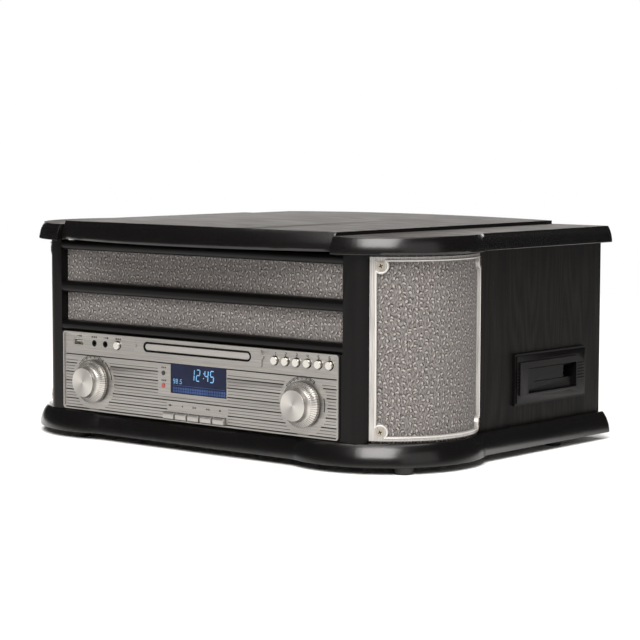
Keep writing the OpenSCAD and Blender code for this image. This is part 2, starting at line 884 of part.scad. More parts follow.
// Housing of the disc mechanism: two cheeks, a floor, a roof and the motor block at its rear
module cd_mechanism() {
    inner = tray_w / 2 + move_gap;
    outer = inner + 5;
    color("#8f9296") at_front() translate([drawer_x, 0, 0]) {
        difference() {
            translate([-outer, mech_y, mech_z0]) cube([2 * outer, mech_l, mech_z1 - mech_z0]);
            translate([-inner, mech_y - 1, mech_z0 + mech_wall])
                cube([2 * inner, mech_l - 6, mech_z1 - mech_z0 - 2 * mech_wall]);
        }
        translate([-20, mech_y + 50, mech_z0 + mech_wall]) cube([40, 60, 6]);
        for (s = [-1, 1]) translate([s * (outer - 4) - 4, mech_y + 20, z_wall])
            cube([8, 10, mech_z0 - z_wall]);
        translate([-outer, mech_y + mech_l - 12, z_wall]) cube([2 * outer, 8, mech_z0 - z_wall]);
    }
}

module cassette_bezel() {
    y0 = bezel_y;
    z0 = z_wall + bezel_z;
    x0 = half_w;
    depth = side_t + bezel_out + 6;
    inner_l = slot_y0 + slot_l + inner_rim - inner_y0;
    lip_r = (inner_l * inner_l / 4 + lip_bow * lip_bow) / (2 * lip_bow);
    color(plastic_black) at_front() difference() {
        union() {
            translate([x0, y0, z0]) cube([bezel_out - 1, bezel_l, bezel_h]);
            translate([x0, y0 + 2, z0 + 2]) cube([bezel_out, bezel_l - 4, bezel_h - 4]);
            translate([x0, 0, 0]) rotate([90, 0, 90]) linear_extrude(bezel_out + 1.6) intersection() {
                translate([inner_y0, inner_z0 - lip_bow]) square([inner_l, inner_z1 - inner_z0 + lip_bow]);
                translate([inner_y0 + inner_l / 2, inner_z0 - lip_bow + lip_r]) circle(r = lip_r, $fn = 720);
            }
            for (i = [0:5], y = [y0 + 1.2, inner_y0 + inner_l + 2.2])
                translate([x0 + bezel_out, y, rib_z0 + i * rib_pitch]) rotate([-90, 0, 0])
                    cylinder(d = rib_d, h = y > inner_y0 ? 10 : 3.4, $fn = 24);
            translate([x0 - side_t, y0 + 8 + fit_gap, z0 + 5 + fit_gap])
                cube([side_t + 1, bezel_l - 16 - 2 * fit_gap, bezel_h - 10 - 2 * fit_gap]);
        }
        translate([x0 + 1, push_y0, opening_z0 - 3])
            cube([depth, slot_y0 + slot_l - push_y0, slot_z0 + slot_h - opening_z0 + 3]);
        translate([x0 - side_t - 1, push_y0, opening_z0]) cube([depth, push_w + 2 * move_gap,
            push_h + 2 * move_gap]);
        translate([x0 - side_t - 1, slot_y0, slot_z0]) cube([depth, slot_l, slot_h]);
        translate([flap_pin_x, slot_y0 - 0.8, flap_pin_z]) rotate([-90, 0, 0])
            cylinder(d = flap_pin_d + 2 * run_gap, h = slot_l + 2.4);
    }
}

// Flap that a cassette pushes inwards, hanging on a pin along the slot's top edge
module cassette_flap() {
    color("#232221") at_front() {
        translate([flap_pin_x, slot_y0 + move_gap, slot_z0 + move_gap])
            cube([flap_t, flap_l, flap_pin_z - slot_z0 - move_gap]);
        translate([flap_pin_x, slot_y0 - 0.6, flap_pin_z]) rotate([-90, 0, 0])
            cylinder(d = flap_pin_d, h = slot_l + 1.8);
    }
}

module cassette_button() {
    depth = bezel_out + 5;
    color("#2c2b2a") at_front()
        translate([half_w + bezel_out - 0.5 - depth, push_y0 + move_gap, opening_z0 + move_gap])
            cube([depth, push_w, push_h]);
}

// Tape mechanism: a box with the cassette well open towards the slot
module cassette_mechanism() {
    x1 = half_w - side_t - 0.4;
    box_z = slot_z0 - tape_under;
    color("#8f9296") at_front() difference() {
        union() {
            translate([x1 - tape_box_l, slot_y0 - tape_wall, box_z])
                cube([tape_box_l, slot_l + 2 * tape_wall, slot_h + tape_under + tape_over]);
            for (x = [x1 - tape_box_l + 4, x1 - 16]) translate([x, slot_y0 + 10, z_wall])
                cube([10, slot_l - 20, box_z - z_wall]);
        }
        translate([x1 - tape_box_l + 4, slot_y0 - 0.4, slot_z0 - 0.4])
            cube([tape_box_l, slot_l + 0.8, slot_h + 2.4]);
    }
}

module turntable_deck() {
    w = 2 * deck_x;
    l = deck_y1 - deck_y0;
    color("#201f1e") at_front() difference() {
        union() {
            translate([-deck_x, deck_y0, deck_z - deck_floor]) cube([w, l, z_slab - deck_z + deck_floor]);
            translate([-deck_x - deck_flange, deck_y0, z_slab - 3]) cube([w + 2 * deck_flange, l, 3]);
        }
        difference() {
            translate([-deck_x + deck_wall, deck_y0 + deck_wall, deck_z])
                cube([w - 2 * deck_wall, l - 2 * deck_wall, z_slab - deck_z + 1]);
            translate([pivot_x + 1, pivot_y - arm_rest_l, deck_z - 1])
                cylinder(d = post_d, h = arm_z - arm_d / 2 - 0.3 - deck_z + 1);
            translate([platter_x, platter_y, deck_z - 1]) cylinder(d = 16, h = 1.9);
        }
        translate([platter_x, platter_y, deck_z - 10]) cylinder(d = spindle_d + 2 * run_gap, h = 20);
        translate([pulley_x, pulley_y, deck_z - 10]) cylinder(d = pulley_d + 4, h = 20);
        translate([pivot_x, pivot_y, deck_z - 10]) cylinder(d = post_d + 2 * run_gap, h = 20);
        translate([switch_x - 2, switch_y - 3, deck_z - 10]) cube([4, switch_travel + 7, 20]);
    }
}

module platter() {
    r = platter_d / 2;
    color("#55534f") at_front() translate([platter_x, platter_y, platter_z]) {
        rotate_extrude($fn = 128) polygon([[0, platter_h - platter_wall],
            [subring_d / 2 - subring_w, platter_h - platter_wall], [subring_d / 2 - subring_w, 0.6],
            [subring_d / 2, 0.6], [subring_d / 2, platter_h - platter_wall],
            [r - 3, platter_h - platter_wall], [r - 3, 0], [r, 0], [r, platter_h - 1],
            [r - 1, platter_h], [0, platter_h]]);
        translate([0, 0, -deck_floor - 5])
            cylinder(d = spindle_d, h = deck_floor + 5 + platter_h + mat_t + spindle_l);
        translate([0, 0, platter_h - 1]) cylinder(d = hub_d, h = mat_t + 1);
    }
}

module platter_mat() {
    color("#2a2725") at_front() translate([platter_x, platter_y, platter_z + platter_h])
        difference() {
            cylinder(d = platter_d - 6, h = mat_t, $fn = 128);
            translate([0, 0, -1]) cylinder(d = hub_d + 2 * fit_gap, h = mat_t + 2);
        }
}

// Motor under the deck; its shaft turns with the pulley
module motor() {
    color("#9b9c9f") at_front() translate([pulley_x, pulley_y, deck_z - deck_floor]) difference() {
        translate([0, 0, -motor_h]) cylinder(d = motor_d, h = motor_h);
        translate([0, 0, -motor_shaft_in - 2]) cylinder(d = motor_shaft_d + 2 * run_gap, h = motor_h);
    }
}

module motor_pulley() {
    color("#c8a24a") at_front() translate([pulley_x, pulley_y, deck_z - deck_floor]) {
        translate([0, 0, deck_floor + 0.8]) cylinder(d = pulley_d, h = pulley_h);
        translate([0, 0, -motor_shaft_in]) cylinder(d = motor_shaft_d, h = motor_shaft_in + deck_floor + 1.8);
    }
}

// Belt round the sub-ring and the pulley, shown as the closed loop that it runs in
module drive_belt() {
    dx = pulley_x - platter_x;
    dy = pulley_y - platter_y;
    z = platter_z + 0.5;
    r1 = subring_d / 2 + belt_gap;
    r2 = pulley_d / 2 + belt_gap;
    dist = norm([dx, dy]);
    lean = acos((r1 - r2) / dist);
    turn = atan2(dy, dx);
    color("#1b1a19") at_front() translate([platter_x, platter_y, z]) rotate([0, 0, turn]) {
        rotate([0, 0, lean]) rotate_extrude(angle = 360 - 2 * lean, $fn = 128)
            translate([r1, 0]) square([belt_t, belt_w]);
        translate([dist, 0, 0]) rotate([0, 0, -lean]) rotate_extrude(angle = 2 * lean, $fn = 64)
            translate([r2, 0]) square([belt_t, belt_w]);
        for (s = [-1, 1]) rotate([0, 0, s * lean])
            translate([r1, s > 0 ? -dist * sin(lean) : 0, 0])
                cube([belt_t, dist * sin(lean), belt_w]);
    }
}

// Turning yoke that carries the arm; its post turns in the deck
module tonearm_yoke() {
    cheek = 3;
    slot = arm_d + 3;
    color("#6b6965") at_front() translate([pivot_x, pivot_y, deck_z]) {
        translate([0, 0, -deck_floor - 6]) cylinder(d = post_d, h = deck_floor + 8);
        translate([0, 0, 0.6]) cylinder(d = yoke_d, h = 12);
        difference() {
            for (s = [-1, 1]) translate([s * (slot + cheek) / 2 - cheek / 2, -8, 11])
                cube([cheek, 16, 16]);
            translate([-yoke_d / 2, 0, arm_z - deck_z]) rotate([0, 90, 0])
                cylinder(d = 3 + 2 * run_gap, h = yoke_d);
        }
    }
}

// Arm with counterweight, head and cartridge; its cross pin turns in the yoke
module tonearm() {
    slot = arm_d + 3;
    color("#a9a7a2") at_front() translate([pivot_x, pivot_y, arm_z]) {
        rod_y(0, -arm_l + head_l / 2, arm_tail, 0, arm_d);
        rod_y(0, arm_tail - 2 - weight_l, arm_tail - 2, 0, weight_d);
        translate([-slot / 2 - 3, 0, 0]) rotate([0, 90, 0]) cylinder(d = 3, h = slot + 6);
        translate([-head_w / 2, -arm_l - 6, -1.5]) cube([head_w, head_l, 4]);
        translate([-5, -arm_l - 4, -6]) cube([10, 16, 5]);
        translate([0, -arm_l, -8.4]) cylinder(d1 = 0.8, d2 = 3, h = 3);
        translate([head_w / 2 - 1, -arm_l - 2, -0.5]) cube([6, 3, 2]);
    }
}

module speed_switch() {
    color("#8d8b86") at_front() translate([switch_x, switch_y, deck_z]) {
        translate([-1.5, -1.5, -deck_floor - 2]) cube([3, 3, deck_floor + 6]);
        translate([-4, -4, 0.4]) cube([8, 8, 5]);
    }
}

// Height of the lid's crowned top at a place across its width
function crown_z(x) = lid_h + lid_crown * (1 - pow(2 * x / lid_w, 2));

module lid() {
    steps = 24;
    crown = [for (i = [0:steps]) let (x = lid_w * (0.5 - i / steps)) [x, crown_z(x)]];
    top = lid_h + lid_crown;
    pocket_w = lid_w - 2 * lid_rim;
    color(wood_black) at_front() translate([0, 0, z_lid]) difference() {
        intersection() {
            translate([0, body_d, 0]) rotate([90, 0, 0]) linear_extrude(body_d + lid_lip + 5)
                polygon(concat([[-lid_w / 2, 0], [lid_w / 2, 0]], crown));
            union() {
                translate([0, bow_r - lid_lip, 0]) rotate_extrude($fn = 360)
                    edge_profile(bow_r, top + 1);
                translate([-lid_w / 2 - 1, body_d / 2, -1]) cube([lid_w + 2, body_d, top + 3]);
            }
        }
        translate([-pocket_w / 2, deck_y0 + 4, -1])
            cube([pocket_w, deck_y1 - deck_y0 - 8, lid_pocket + 1]);
    }
}

// Knuckle axis of the lid hinge
hinge_y = body_d + knuckle_out;
hinge_z = z_lid;
knuckle_l = leaf_l / 3;

module hinge_leaves_body() {
    color("#b5b2aa") at_front() for (x = [-hinge_x, hinge_x]) translate([x, 0, 0]) {
        difference() {
            translate([-leaf_l / 2, body_d, hinge_z - leaf_h - 2]) cube([leaf_l, leaf_t, leaf_h]);
            translate([-knuckle_l / 2 - 0.3, body_d - 1, hinge_z - 4]) cube([knuckle_l + 0.6, 4, 4]);
        }
        for (s = [-1, 1]) translate([s * knuckle_l - knuckle_l / 2, hinge_y, hinge_z])
            rotate([0, 90, 0]) difference() {
                union() {
                    cylinder(r = knuckle_r, h = knuckle_l);
                    translate([0, -knuckle_out, 0]) cube([knuckle_r, knuckle_out, knuckle_l]);
                }
                translate([0, 0, -1]) cylinder(d = 2.5 + 2 * run_gap, h = knuckle_l + 2);
                translate([-10, -knuckle_out - 1, -1]) cube([10, 1, knuckle_l + 2]);
            }
    }
}

module hinge_leaves_lid() {
    k = knuckle_l - 0.6;
    color("#b5b2aa") at_front() for (x = [-hinge_x, hinge_x]) translate([x, 0, 0]) {
        translate([-k / 2, body_d, hinge_z + 1]) cube([k, leaf_t, lid_leaf_h]);
        translate([-k / 2, hinge_y, hinge_z]) rotate([0, 90, 0]) cylinder(r = knuckle_r, h = k);
        translate([-k / 2, body_d, hinge_z + 1]) cube([k, knuckle_out, 2]);
        translate([-leaf_l / 2 + 1, hinge_y, hinge_z]) rotate([0, 90, 0])
            cylinder(d = 2.5, h = leaf_l - 2);
    }
}

module lid_bumpers() {
    color("#ece8df") at_front() for (s = [-1, 1])
        translate([s * (lid_w / 2 - 3.5), 4, z_slab]) cylinder(d = 6, h = bumper_h);
}

// Main board on the plinth with its mains transformer and heat sink
module main_circuit_board() {
    x1 = main_x0 + main_w;
    y0 = main_y1 - main_l;
    color("#2f6b3f") at_front() {
        for (x = [main_x0 + 7, x1 - 8], y = [y0 + 6, main_y1 - 8])
            translate([x, y, z_wall]) cylinder(d = 6, h = stand_h);
        translate([main_x0, y0, z_wall + stand_h]) cube([main_w, main_l, board_t]);
        translate([main_x0 + 5, y0 + 13, z_wall + stand_h + board_t]) cube(transformer);
        translate([x1 - sink[0] - 6, main_y1 - sink[1] - 2, z_wall + stand_h + board_t]) cube(sink);
    }
}

// Main board: its rear edge keeps clear of the sockets in the back panel
socket_in = 11;
stand_h = 6;
main_w = 135;
main_l = 82;
main_x0 = -half_w + side_t + 20.5;
main_y1 = body_d - back_t - socket_in - 6;
transformer = [54, 46, 42];
sink = [44, 14, 30];
out_w = 36;
out_h = 18;
out_x = main_x0 + 99;
out_z = 17;
out_pitch = 18;
out_bore_d = 3.3;

module line_out_cutout() {
    translate([out_x - out_w / 2, body_d - back_t - 1, z_wall + out_z - out_h / 2])
        cube([out_w, back_t + 2, out_h]);
}

module line_out_sockets() {
    z = z_wall + out_z;
    color("#151515") at_front() difference() {
        union() {
            translate([out_x - out_w / 2, body_d - back_t - 6, z - out_h / 2])
                cube([out_w, back_t + 5, out_h]);
            for (s = [-1, 1]) rod_y(out_x + s * out_pitch / 2, body_d - 2, body_d + 3, z, 8.4);
        }
        for (s = [-1, 1]) rod_y(out_x + s * out_pitch / 2, body_d - 6, body_d + 4, z, out_bore_d);
    }
}

inlet_x = main_x0 + 25;
inlet_w = 22;
inlet_h = 14;
inlet_z = z_wall + 10;

module mains_cutout() {
    translate([inlet_x - inlet_w / 2, body_d - back_t - 1, inlet_z]) cube([inlet_w, back_t + 2, inlet_h]);
}

module mains_inlet() {
    color("#101010") at_front() difference() {
        translate([inlet_x - inlet_w / 2, body_d - back_t - socket_in, inlet_z])
            cube([inlet_w, back_t + socket_in - 0.5, inlet_h]);
        stadium_y(inlet_x, body_d - back_t - 7, body_d + 1, inlet_z + inlet_h / 2, 15, 8);
    }
}

base_plinth();
feet();
side_panel_left();
side_panel_right();
back_panel();
front_frame();
cloth_strips();
speaker_frame_left();
speaker_frame_right();
speaker_cloth_left();
speaker_cloth_right();
speaker_baffles();
speaker_driver_left();
speaker_driver_right();
frame_screws();
top_shoulder_left();
top_shoulder_right();
control_panel();
display_window();
remote_eye();
power_lamp();
usb_socket();
jack_sockets();
function_button();
track_button_1();
track_button_2();
track_button_3();
track_button_4();
track_button_5();
track_button_6();
play_key_1();
play_key_2();
play_key_3();
play_key_4();
play_key_5();
volume_knob();
tuning_knob();
front_circuit_board();
cd_drawer();
cd_mechanism();
cassette_bezel();
cassette_flap();
cassette_button();
cassette_mechanism();
turntable_deck();
platter();
platter_mat();
motor();
motor_pulley();
drive_belt();
tonearm_yoke();
tonearm();
speed_switch();
lid();
hinge_leaves_body();
hinge_leaves_lid();
lid_bumpers();
main_circuit_board();
line_out_sockets();
mains_inlet();
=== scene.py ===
"""Dresses a retro music centre: lacquer, ash veneer, grille cloth, silver panel, dials, display and small parts."""

import logging
import math
from dataclasses import dataclass
from enum import Enum

import bmesh
import bpy
from mathutils import Matrix, Vector


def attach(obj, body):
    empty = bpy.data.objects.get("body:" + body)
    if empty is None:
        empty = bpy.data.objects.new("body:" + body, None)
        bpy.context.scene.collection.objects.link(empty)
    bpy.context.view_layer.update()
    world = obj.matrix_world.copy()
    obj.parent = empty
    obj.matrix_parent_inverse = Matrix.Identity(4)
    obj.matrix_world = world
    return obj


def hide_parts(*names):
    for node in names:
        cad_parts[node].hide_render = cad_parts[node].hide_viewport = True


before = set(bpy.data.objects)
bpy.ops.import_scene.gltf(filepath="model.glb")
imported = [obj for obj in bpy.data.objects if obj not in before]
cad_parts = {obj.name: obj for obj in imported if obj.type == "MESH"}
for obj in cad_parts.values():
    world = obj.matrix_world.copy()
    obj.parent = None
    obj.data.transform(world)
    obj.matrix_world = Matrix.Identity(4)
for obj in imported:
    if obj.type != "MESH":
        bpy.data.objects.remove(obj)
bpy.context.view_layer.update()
LOG = logging.getLogger("music_centre")
MM = 0.001
# The plane of the case's front, and the axis of the right-hand curved corner, in millimetres
FRONT_Y = -146.7
LOBE_X, LOBE_Y = 159.5, FRONT_Y + 83.0
# How thick the printed signs are, in millimetres
PRINT_T = 0.06


class Axis(Enum):
    """The three directions of the part's own frame."""

    X = (1.0, 0.0, 0.0)
    Y = (0.0, 1.0, 0.0)
    Z = (0.0, 0.0, 1.0)


def linear(shade: str) -> tuple[float, float, float, float]:
    """Turns an sRGB hex colour to linear light.

    Args:
        shade: Six hex digits, such as "8c8986".

    Returns:
        Red, green, blue and an alpha of 1.
    """
    parts = [int(shade[i:i + 2], 16) / 255 for i in (0, 2, 4)]
    lin = [p / 12.92 if p <= 0.04045 else ((p + 0.055) / 1.055) ** 2.4 for p in parts]
    return (lin[0], lin[1], lin[2], 1.0)


def add_node(tree: bpy.types.NodeTree, kind: str, inputs: dict | None = None, **settings: object) -> bpy.types.Node:
    """Adds a shader node.

    Args:
        tree: The material's node tree.
        kind: The node's type without the ShaderNode prefix.
        inputs: Socket name or number to a value or to another node's output.
        **settings: Properties to set on the node.

    Returns:
        The new node.
    """
    node = tree.nodes.new("ShaderNode" + kind)
    for key, value in settings.items():
        setattr(node, key, value)
    for key, value in (inputs or {}).items():
        socket = node.inputs[key]
        if isinstance(value, bpy.types.NodeSocket):
            tree.links.new(value, socket)
        else:
            socket.default_value = value
    return node


def calc(tree: bpy.types.NodeTree, operation: str, *values: object) -> bpy.types.NodeSocket:
    """Adds a math node over numbers and outputs, and gives its result."""
    return add_node(tree, "Math", dict(enumerate(values)), operation=operation).outputs[0]


def spread(tree: bpy.types.NodeTree, value: bpy.types.NodeSocket, start: float, end: float, low: float = 0.0,
           high: float = 1.0, curve: str = "LINEAR") -> bpy.types.NodeSocket:
    """Maps the span from start to end onto the span from low to high, and gives the result."""
    sockets = {"Value": value, "From Min": start, "From Max": end, "To Min": low, "To Max": high}
    return add_node(tree, "MapRange", sockets, interpolation_type=curve).outputs["Result"]


def ramp(tree: bpy.types.NodeTree, factor: bpy.types.NodeSocket, *stops: tuple) -> bpy.types.NodeSocket:
    """Adds a colour ramp with two stops, each a place from 0 to 1 and a colour, and gives its colour."""
    node = add_node(tree, "ValToRGB", {"Fac": factor})
    for element, (position, colour) in zip(node.color_ramp.elements, stops):
        element.position, element.color = position, colour
    return node.outputs["Color"]


def mix(tree: bpy.types.NodeTree, factor: bpy.types.NodeSocket, first: object, second: object) -> bpy.types.NodeSocket:
    """Mixes two colours, each a value or an output, and gives the result."""
    return add_node(tree, "Mix", {"Factor": factor, 6: first, 7: second}, data_type="RGBA").outputs[2]


def noise(tree: bpy.types.NodeTree, where: bpy.types.NodeSocket, scale: float, detail: float,
          **settings: object) -> bpy.types.NodeSocket:
    """Adds a noise texture and gives its value, about 0.5 on average."""
    inputs = {"Vector": where, "Scale": scale, "Detail": detail}
    return add_node(tree, "TexNoise", inputs, **settings).outputs["Fac"]


@dataclass(frozen=True)
class Finish:
    """A finish: its colour and gloss, to which each kind adds the pattern that its making leaves."""

    name: str
    colour: str
    roughness: float = 0.5
    metallic: float = 0.0
    ior: float = 1.5

    def pattern(self, tree: bpy.types.NodeTree, shader: bpy.types.Node) -> None:
        """Adds the finish's own pattern to the shader."""

    def make(self) -> bpy.types.Material:
        """Builds the material."""
        material = bpy.data.materials.new(self.name)
        material.use_nodes = True
        shader = material.node_tree.nodes["Principled BSDF"]
        shader.inputs["Base Color"].default_value = linear(self.colour)
        shader.inputs["Roughness"].default_value = self.roughness
        shader.inputs["Metallic"].default_value = self.metallic
        shader.inputs["IOR"].default_value = self.ior
        self.pattern(material.node_tree, shader)
        return material


def place_mm(tree: bpy.types.NodeTree, stretch: tuple[float, float, float] = (1, 1, 1),
             centre: tuple[float, float, float] = (0, 0, 0)) -> bpy.types.NodeSocket:
    """Gives the object coordinates in millimetres, squeezed along each direction by a factor.

    Args:
        tree: The material's node tree.
        stretch: How many times the pattern is longer along X, Y and Z.
        centre: The place, in millimetres, that becomes the origin.

    Returns:
        The vector output.
    """
    coords = add_node(tree, "TexCoord")
    scale = tuple(1000.0 / s for s in stretch)
    shift = tuple(-c / s for c, s in zip(centre, stretch))
    mapping = add_node(tree, "Mapping", {"Vector": coords.outputs["Object"], "Scale": scale, "Location": shift})
    return mapping.outputs["Vector"]


def bump(tree: bpy.types.NodeTree, shader: bpy.types.Node, height: bpy.types.NodeSocket, depth_mm: float) -> None:
    """Turns a height from 0 to 1 into relief of a depth in millimetres."""
    relief = add_node(tree, "Bump", {"Height": height, "Strength": 1.0, "Distance": depth_mm * MM})
    tree.links.new(relief.outputs["Normal"], shader.inputs["Normal"])


@dataclass(frozen=True)
class MouldedPlastic(Finish):
    """ABS moulded in a lightly blasted tool: an even satin with a faint grain."""

    grain_mm: float = 0.9
    depth_mm: float = 0.02

    def pattern(self, tree: bpy.types.NodeTree, shader: bpy.types.Node) -> None:
        """Adds the tool's grain and a slow change of gloss."""
        where = place_mm(tree)
        bump(tree, shader, noise(tree, where, 1 / self.grain_mm, 2.0), self.depth_mm)
        cloud = noise(tree, where, 0.03, 2.0)
        gloss = spread(tree, cloud, 0.0, 1.0, self.roughness - 0.05, self.roughness + 0.06)
        tree.links.new(gloss, shader.inputs["Roughness"])


@dataclass(frozen=True)
class SatinLacquer(Finish):
    """Black lacquer sprayed on shaped board: smooth, with the slight ripple that spraying leaves."""

    ripple_mm: float = 5.0
    depth_mm: float = 0.03
    coat: float = 0.15

    def pattern(self, tree: bpy.types.NodeTree, shader: bpy.types.Node) -> None:
        """Adds the spray ripple and a thin clear coat."""
        where = place_mm(tree)
        bump(tree, shader, noise(tree, where, 1 / self.ripple_mm, 3.0), self.depth_mm)
        cloud = noise(tree, where, 0.02, 3.0)
        gloss = spread(tree, cloud, 0.0, 1.0, self.roughness - 0.04, self.roughness + 0.06)
        tree.links.new(gloss, shader.inputs["Roughness"])
        shader.inputs["Coat Weight"].default_value = self.coat
        shader.inputs["Coat Roughness"].default_value = 0.25


@dataclass(frozen=True)
class BlackAsh(Finish):
    """Ash veneer stained black: open pores drawn out along the grain, with arched figure between them."""

    along: Axis = Axis.Z
    drawn_out: tuple[float, float] = (26.0, 9.0)
    pore_mm: float = 1.3
    figure_mm: float = 9.0
    figure: float = 0.12
    deepest: str = "0a0909"
    relief_mm: float = 0.1

    def pattern(self, tree: bpy.types.NodeTree, shader: bpy.types.Node) -> None:
        """Adds the figure, the pores and the relief that both leave."""
        long_pores, long_arches = (tuple(drawn if a else 1.0 for a in self.along.value) for drawn in self.drawn_out)
        pores = add_node(tree, "TexNoise", {"Vector": place_mm(tree, long_pores), "Scale": 1 / self.pore_mm,
                                            "Detail": 5.0, "Roughness": 0.62}).outputs["Fac"]
        bend = noise(tree, place_mm(tree, long_arches), 0.022, 1.5)
        rings = calc(tree, "SINE", calc(tree, "MULTIPLY", bend, 900.0 / self.figure_mm))
        arch = spread(tree, rings, -1.0, 1.0)
        both = calc(tree, "MULTIPLY_ADD", arch, self.figure, calc(tree, "MULTIPLY_ADD", pores, 0.55, 0.0))
        tint = ramp(tree, both, (0.24, linear(self.deepest)), (0.5, linear(self.colour)))
        tree.links.new(tint, shader.inputs["Base Color"])
        gloss = spread(tree, both, 0.25, 0.7, self.roughness + 0.16, self.roughness - 0.04)
        tree.links.new(gloss, shader.inputs["Roughness"])
        bump(tree, shader, both, self.relief_mm)


@dataclass(frozen=True)
class TweedCloth(Finish):
    """Acoustic cloth woven from grey yarn, with a light bent slub every few millimetres and a painted shadow on its
    flanks.
    """

    thread_mm: float = 0.85
    slub_mm: float = 5.2
    slub_size: tuple[float, float] = (1.3, 0.8)
    bend: float = 0.5
    deep: str = "454140"
    # The colour of the painted shadow beside each slub
    slub_shadow: str = "2a2725"
    slub: str = "97928d"
    relief_mm: float = 0.12

    def slubs(self, tree: bpy.types.NodeTree, where: bpy.types.NodeSocket) -> tuple[bpy.types.NodeSocket, ...]:
        """Gives the distance from the nearest slub, which is 1 at its edge, and the height across it.

        Args:
            tree: The material's node tree.
            where: The place on the cloth, in millimetres.

        Returns:
            The distance output, and the place across the slub counted in its half widths.
        """
        cell = add_node(tree, "TexVoronoi", {"Vector": where, "Scale": 1 / self.slub_mm, "Randomness": 0.7},
                        voronoi_dimensions="2D")
        offset = add_node(tree, "VectorMath", {0: where, 1: cell.outputs["Position"]}, operation="SUBTRACT")
        chance = add_node(tree, "SeparateColor", {"Color": cell.outputs["Color"]})
        angle = calc(tree, "MULTIPLY_ADD", chance.outputs["Red"], 3.0, -0.5)
        turned = add_node(tree, "VectorRotate", {"Vector": offset.outputs["Vector"], "Angle": angle},
                          rotation_type="Z_AXIS")
        inverse = (1 / self.slub_size[0], 1 / self.slub_size[1], 0.0)
        fitted = add_node(tree, "VectorMath", {0: turned.outputs["Vector"], 1: inverse}, operation="MULTIPLY")
        split = add_node(tree, "SeparateXYZ", {"Vector": fitted.outputs["Vector"]})
        along, side = split.outputs["X"], split.outputs["Y"]
        across = calc(tree, "MULTIPLY_ADD", calc(tree, "MULTIPLY", along, along), self.bend, side)
        bent = add_node(tree, "CombineXYZ", {"X": along, "Y": across})
        length = add_node(tree, "VectorMath", {0: bent.outputs["Vector"]}, operation="LENGTH")
        return length.outputs["Value"], across

    def pattern(self, tree: bpy.types.NodeTree, shader: bpy.types.Node) -> None:
        """Adds the weave, the slubs and the shadow painted on their flanks, on the cloth's own flat coordinates."""
        uv = add_node(tree, "UVMap", uv_map="cut")
        where = add_node(tree, "Mapping", {"Vector": uv.outputs["UV"], "Scale": (1000.0, 1000.0, 1000.0)})
        wobble = add_node(tree, "TexNoise", {"Vector": where.outputs["Vector"], "Scale": 0.6, "Detail": 2.0},
                          noise_dimensions="2D")
        sway = add_node(tree, "VectorMath", {0: wobble.outputs["Color"], 1: (2.0, 2.0, 0.0)}, operation="MULTIPLY")
        bent = add_node(tree, "VectorMath", {0: where.outputs["Vector"], 1: sway.outputs["Vector"]}, operation="ADD")
        reach, across = self.slubs(tree, bent.outputs["Vector"])
        light = spread(tree, reach, 1.25, 0.6, curve="SMOOTHSTEP")
        # Painted shadow: a dark crescent near each slub, on both of its flanks
        near = spread(tree, reach, 2.5, 1.7, curve="SMOOTHSTEP")
        shadow_sides = calc(tree, "MAXIMUM", spread(tree, across, 0.9, 1.4), spread(tree, across, -1.2, -1.8, 0.0, 0.7))
        dark = calc(tree, "MULTIPLY", near, shadow_sides)
        ribs = add_node(tree, "Mapping", {"Vector": where.outputs["Vector"], "Scale": (1.0, 0.28, 1.0)})
        weave = noise(tree, ribs.outputs["Vector"], 1 / self.thread_mm, 3.0, noise_dimensions="2D")
        yarn = ramp(tree, weave, (0.32, linear(self.deep)), (0.66, linear(self.colour)))
        yarn_with_shadow = mix(tree, dark, yarn, linear(self.slub_shadow))
        tree.links.new(mix(tree, light, yarn_with_shadow, linear(self.slub)), shader.inputs["Base Color"])
        bump(tree, shader, calc(tree, "MULTIPLY_ADD", light, 0.7, weave), self.relief_mm)
        shader.inputs["Sheen Weight"].default_value = 0.05


@dataclass(frozen=True)
class BrushedSilver(Finish):
    """Plastic with a brushed aluminium film, or aluminium itself: fine streaks along one direction."""

    along: Axis = Axis.X
    streak_mm: float = 0.5
    deep: str = "8c8985"
    relief_mm: float = 0.015

    def pattern(self, tree: bpy.types.NodeTree, shader: bpy.types.Node) -> None:
        """Adds the streaks to the colour, the gloss and the relief."""
        stretch = tuple(60.0 if a else 1.0 for a in self.along.value)
        streak = noise(tree, place_mm(tree, stretch), 1 / self.streak_mm, 3.0)
        tint = ramp(tree, streak, (0.3, linear(self.deep)), (0.7, linear(self.colour)))
        tree.links.new(tint, shader.inputs["Base Color"])
        gloss = spread(tree, streak, 0.0, 1.0, self.roughness - 0.08, self.roughness + 0.08)
        tree.links.new(gloss, shader.inputs["Roughness"])
        bump(tree, shader, streak, self.relief_mm)


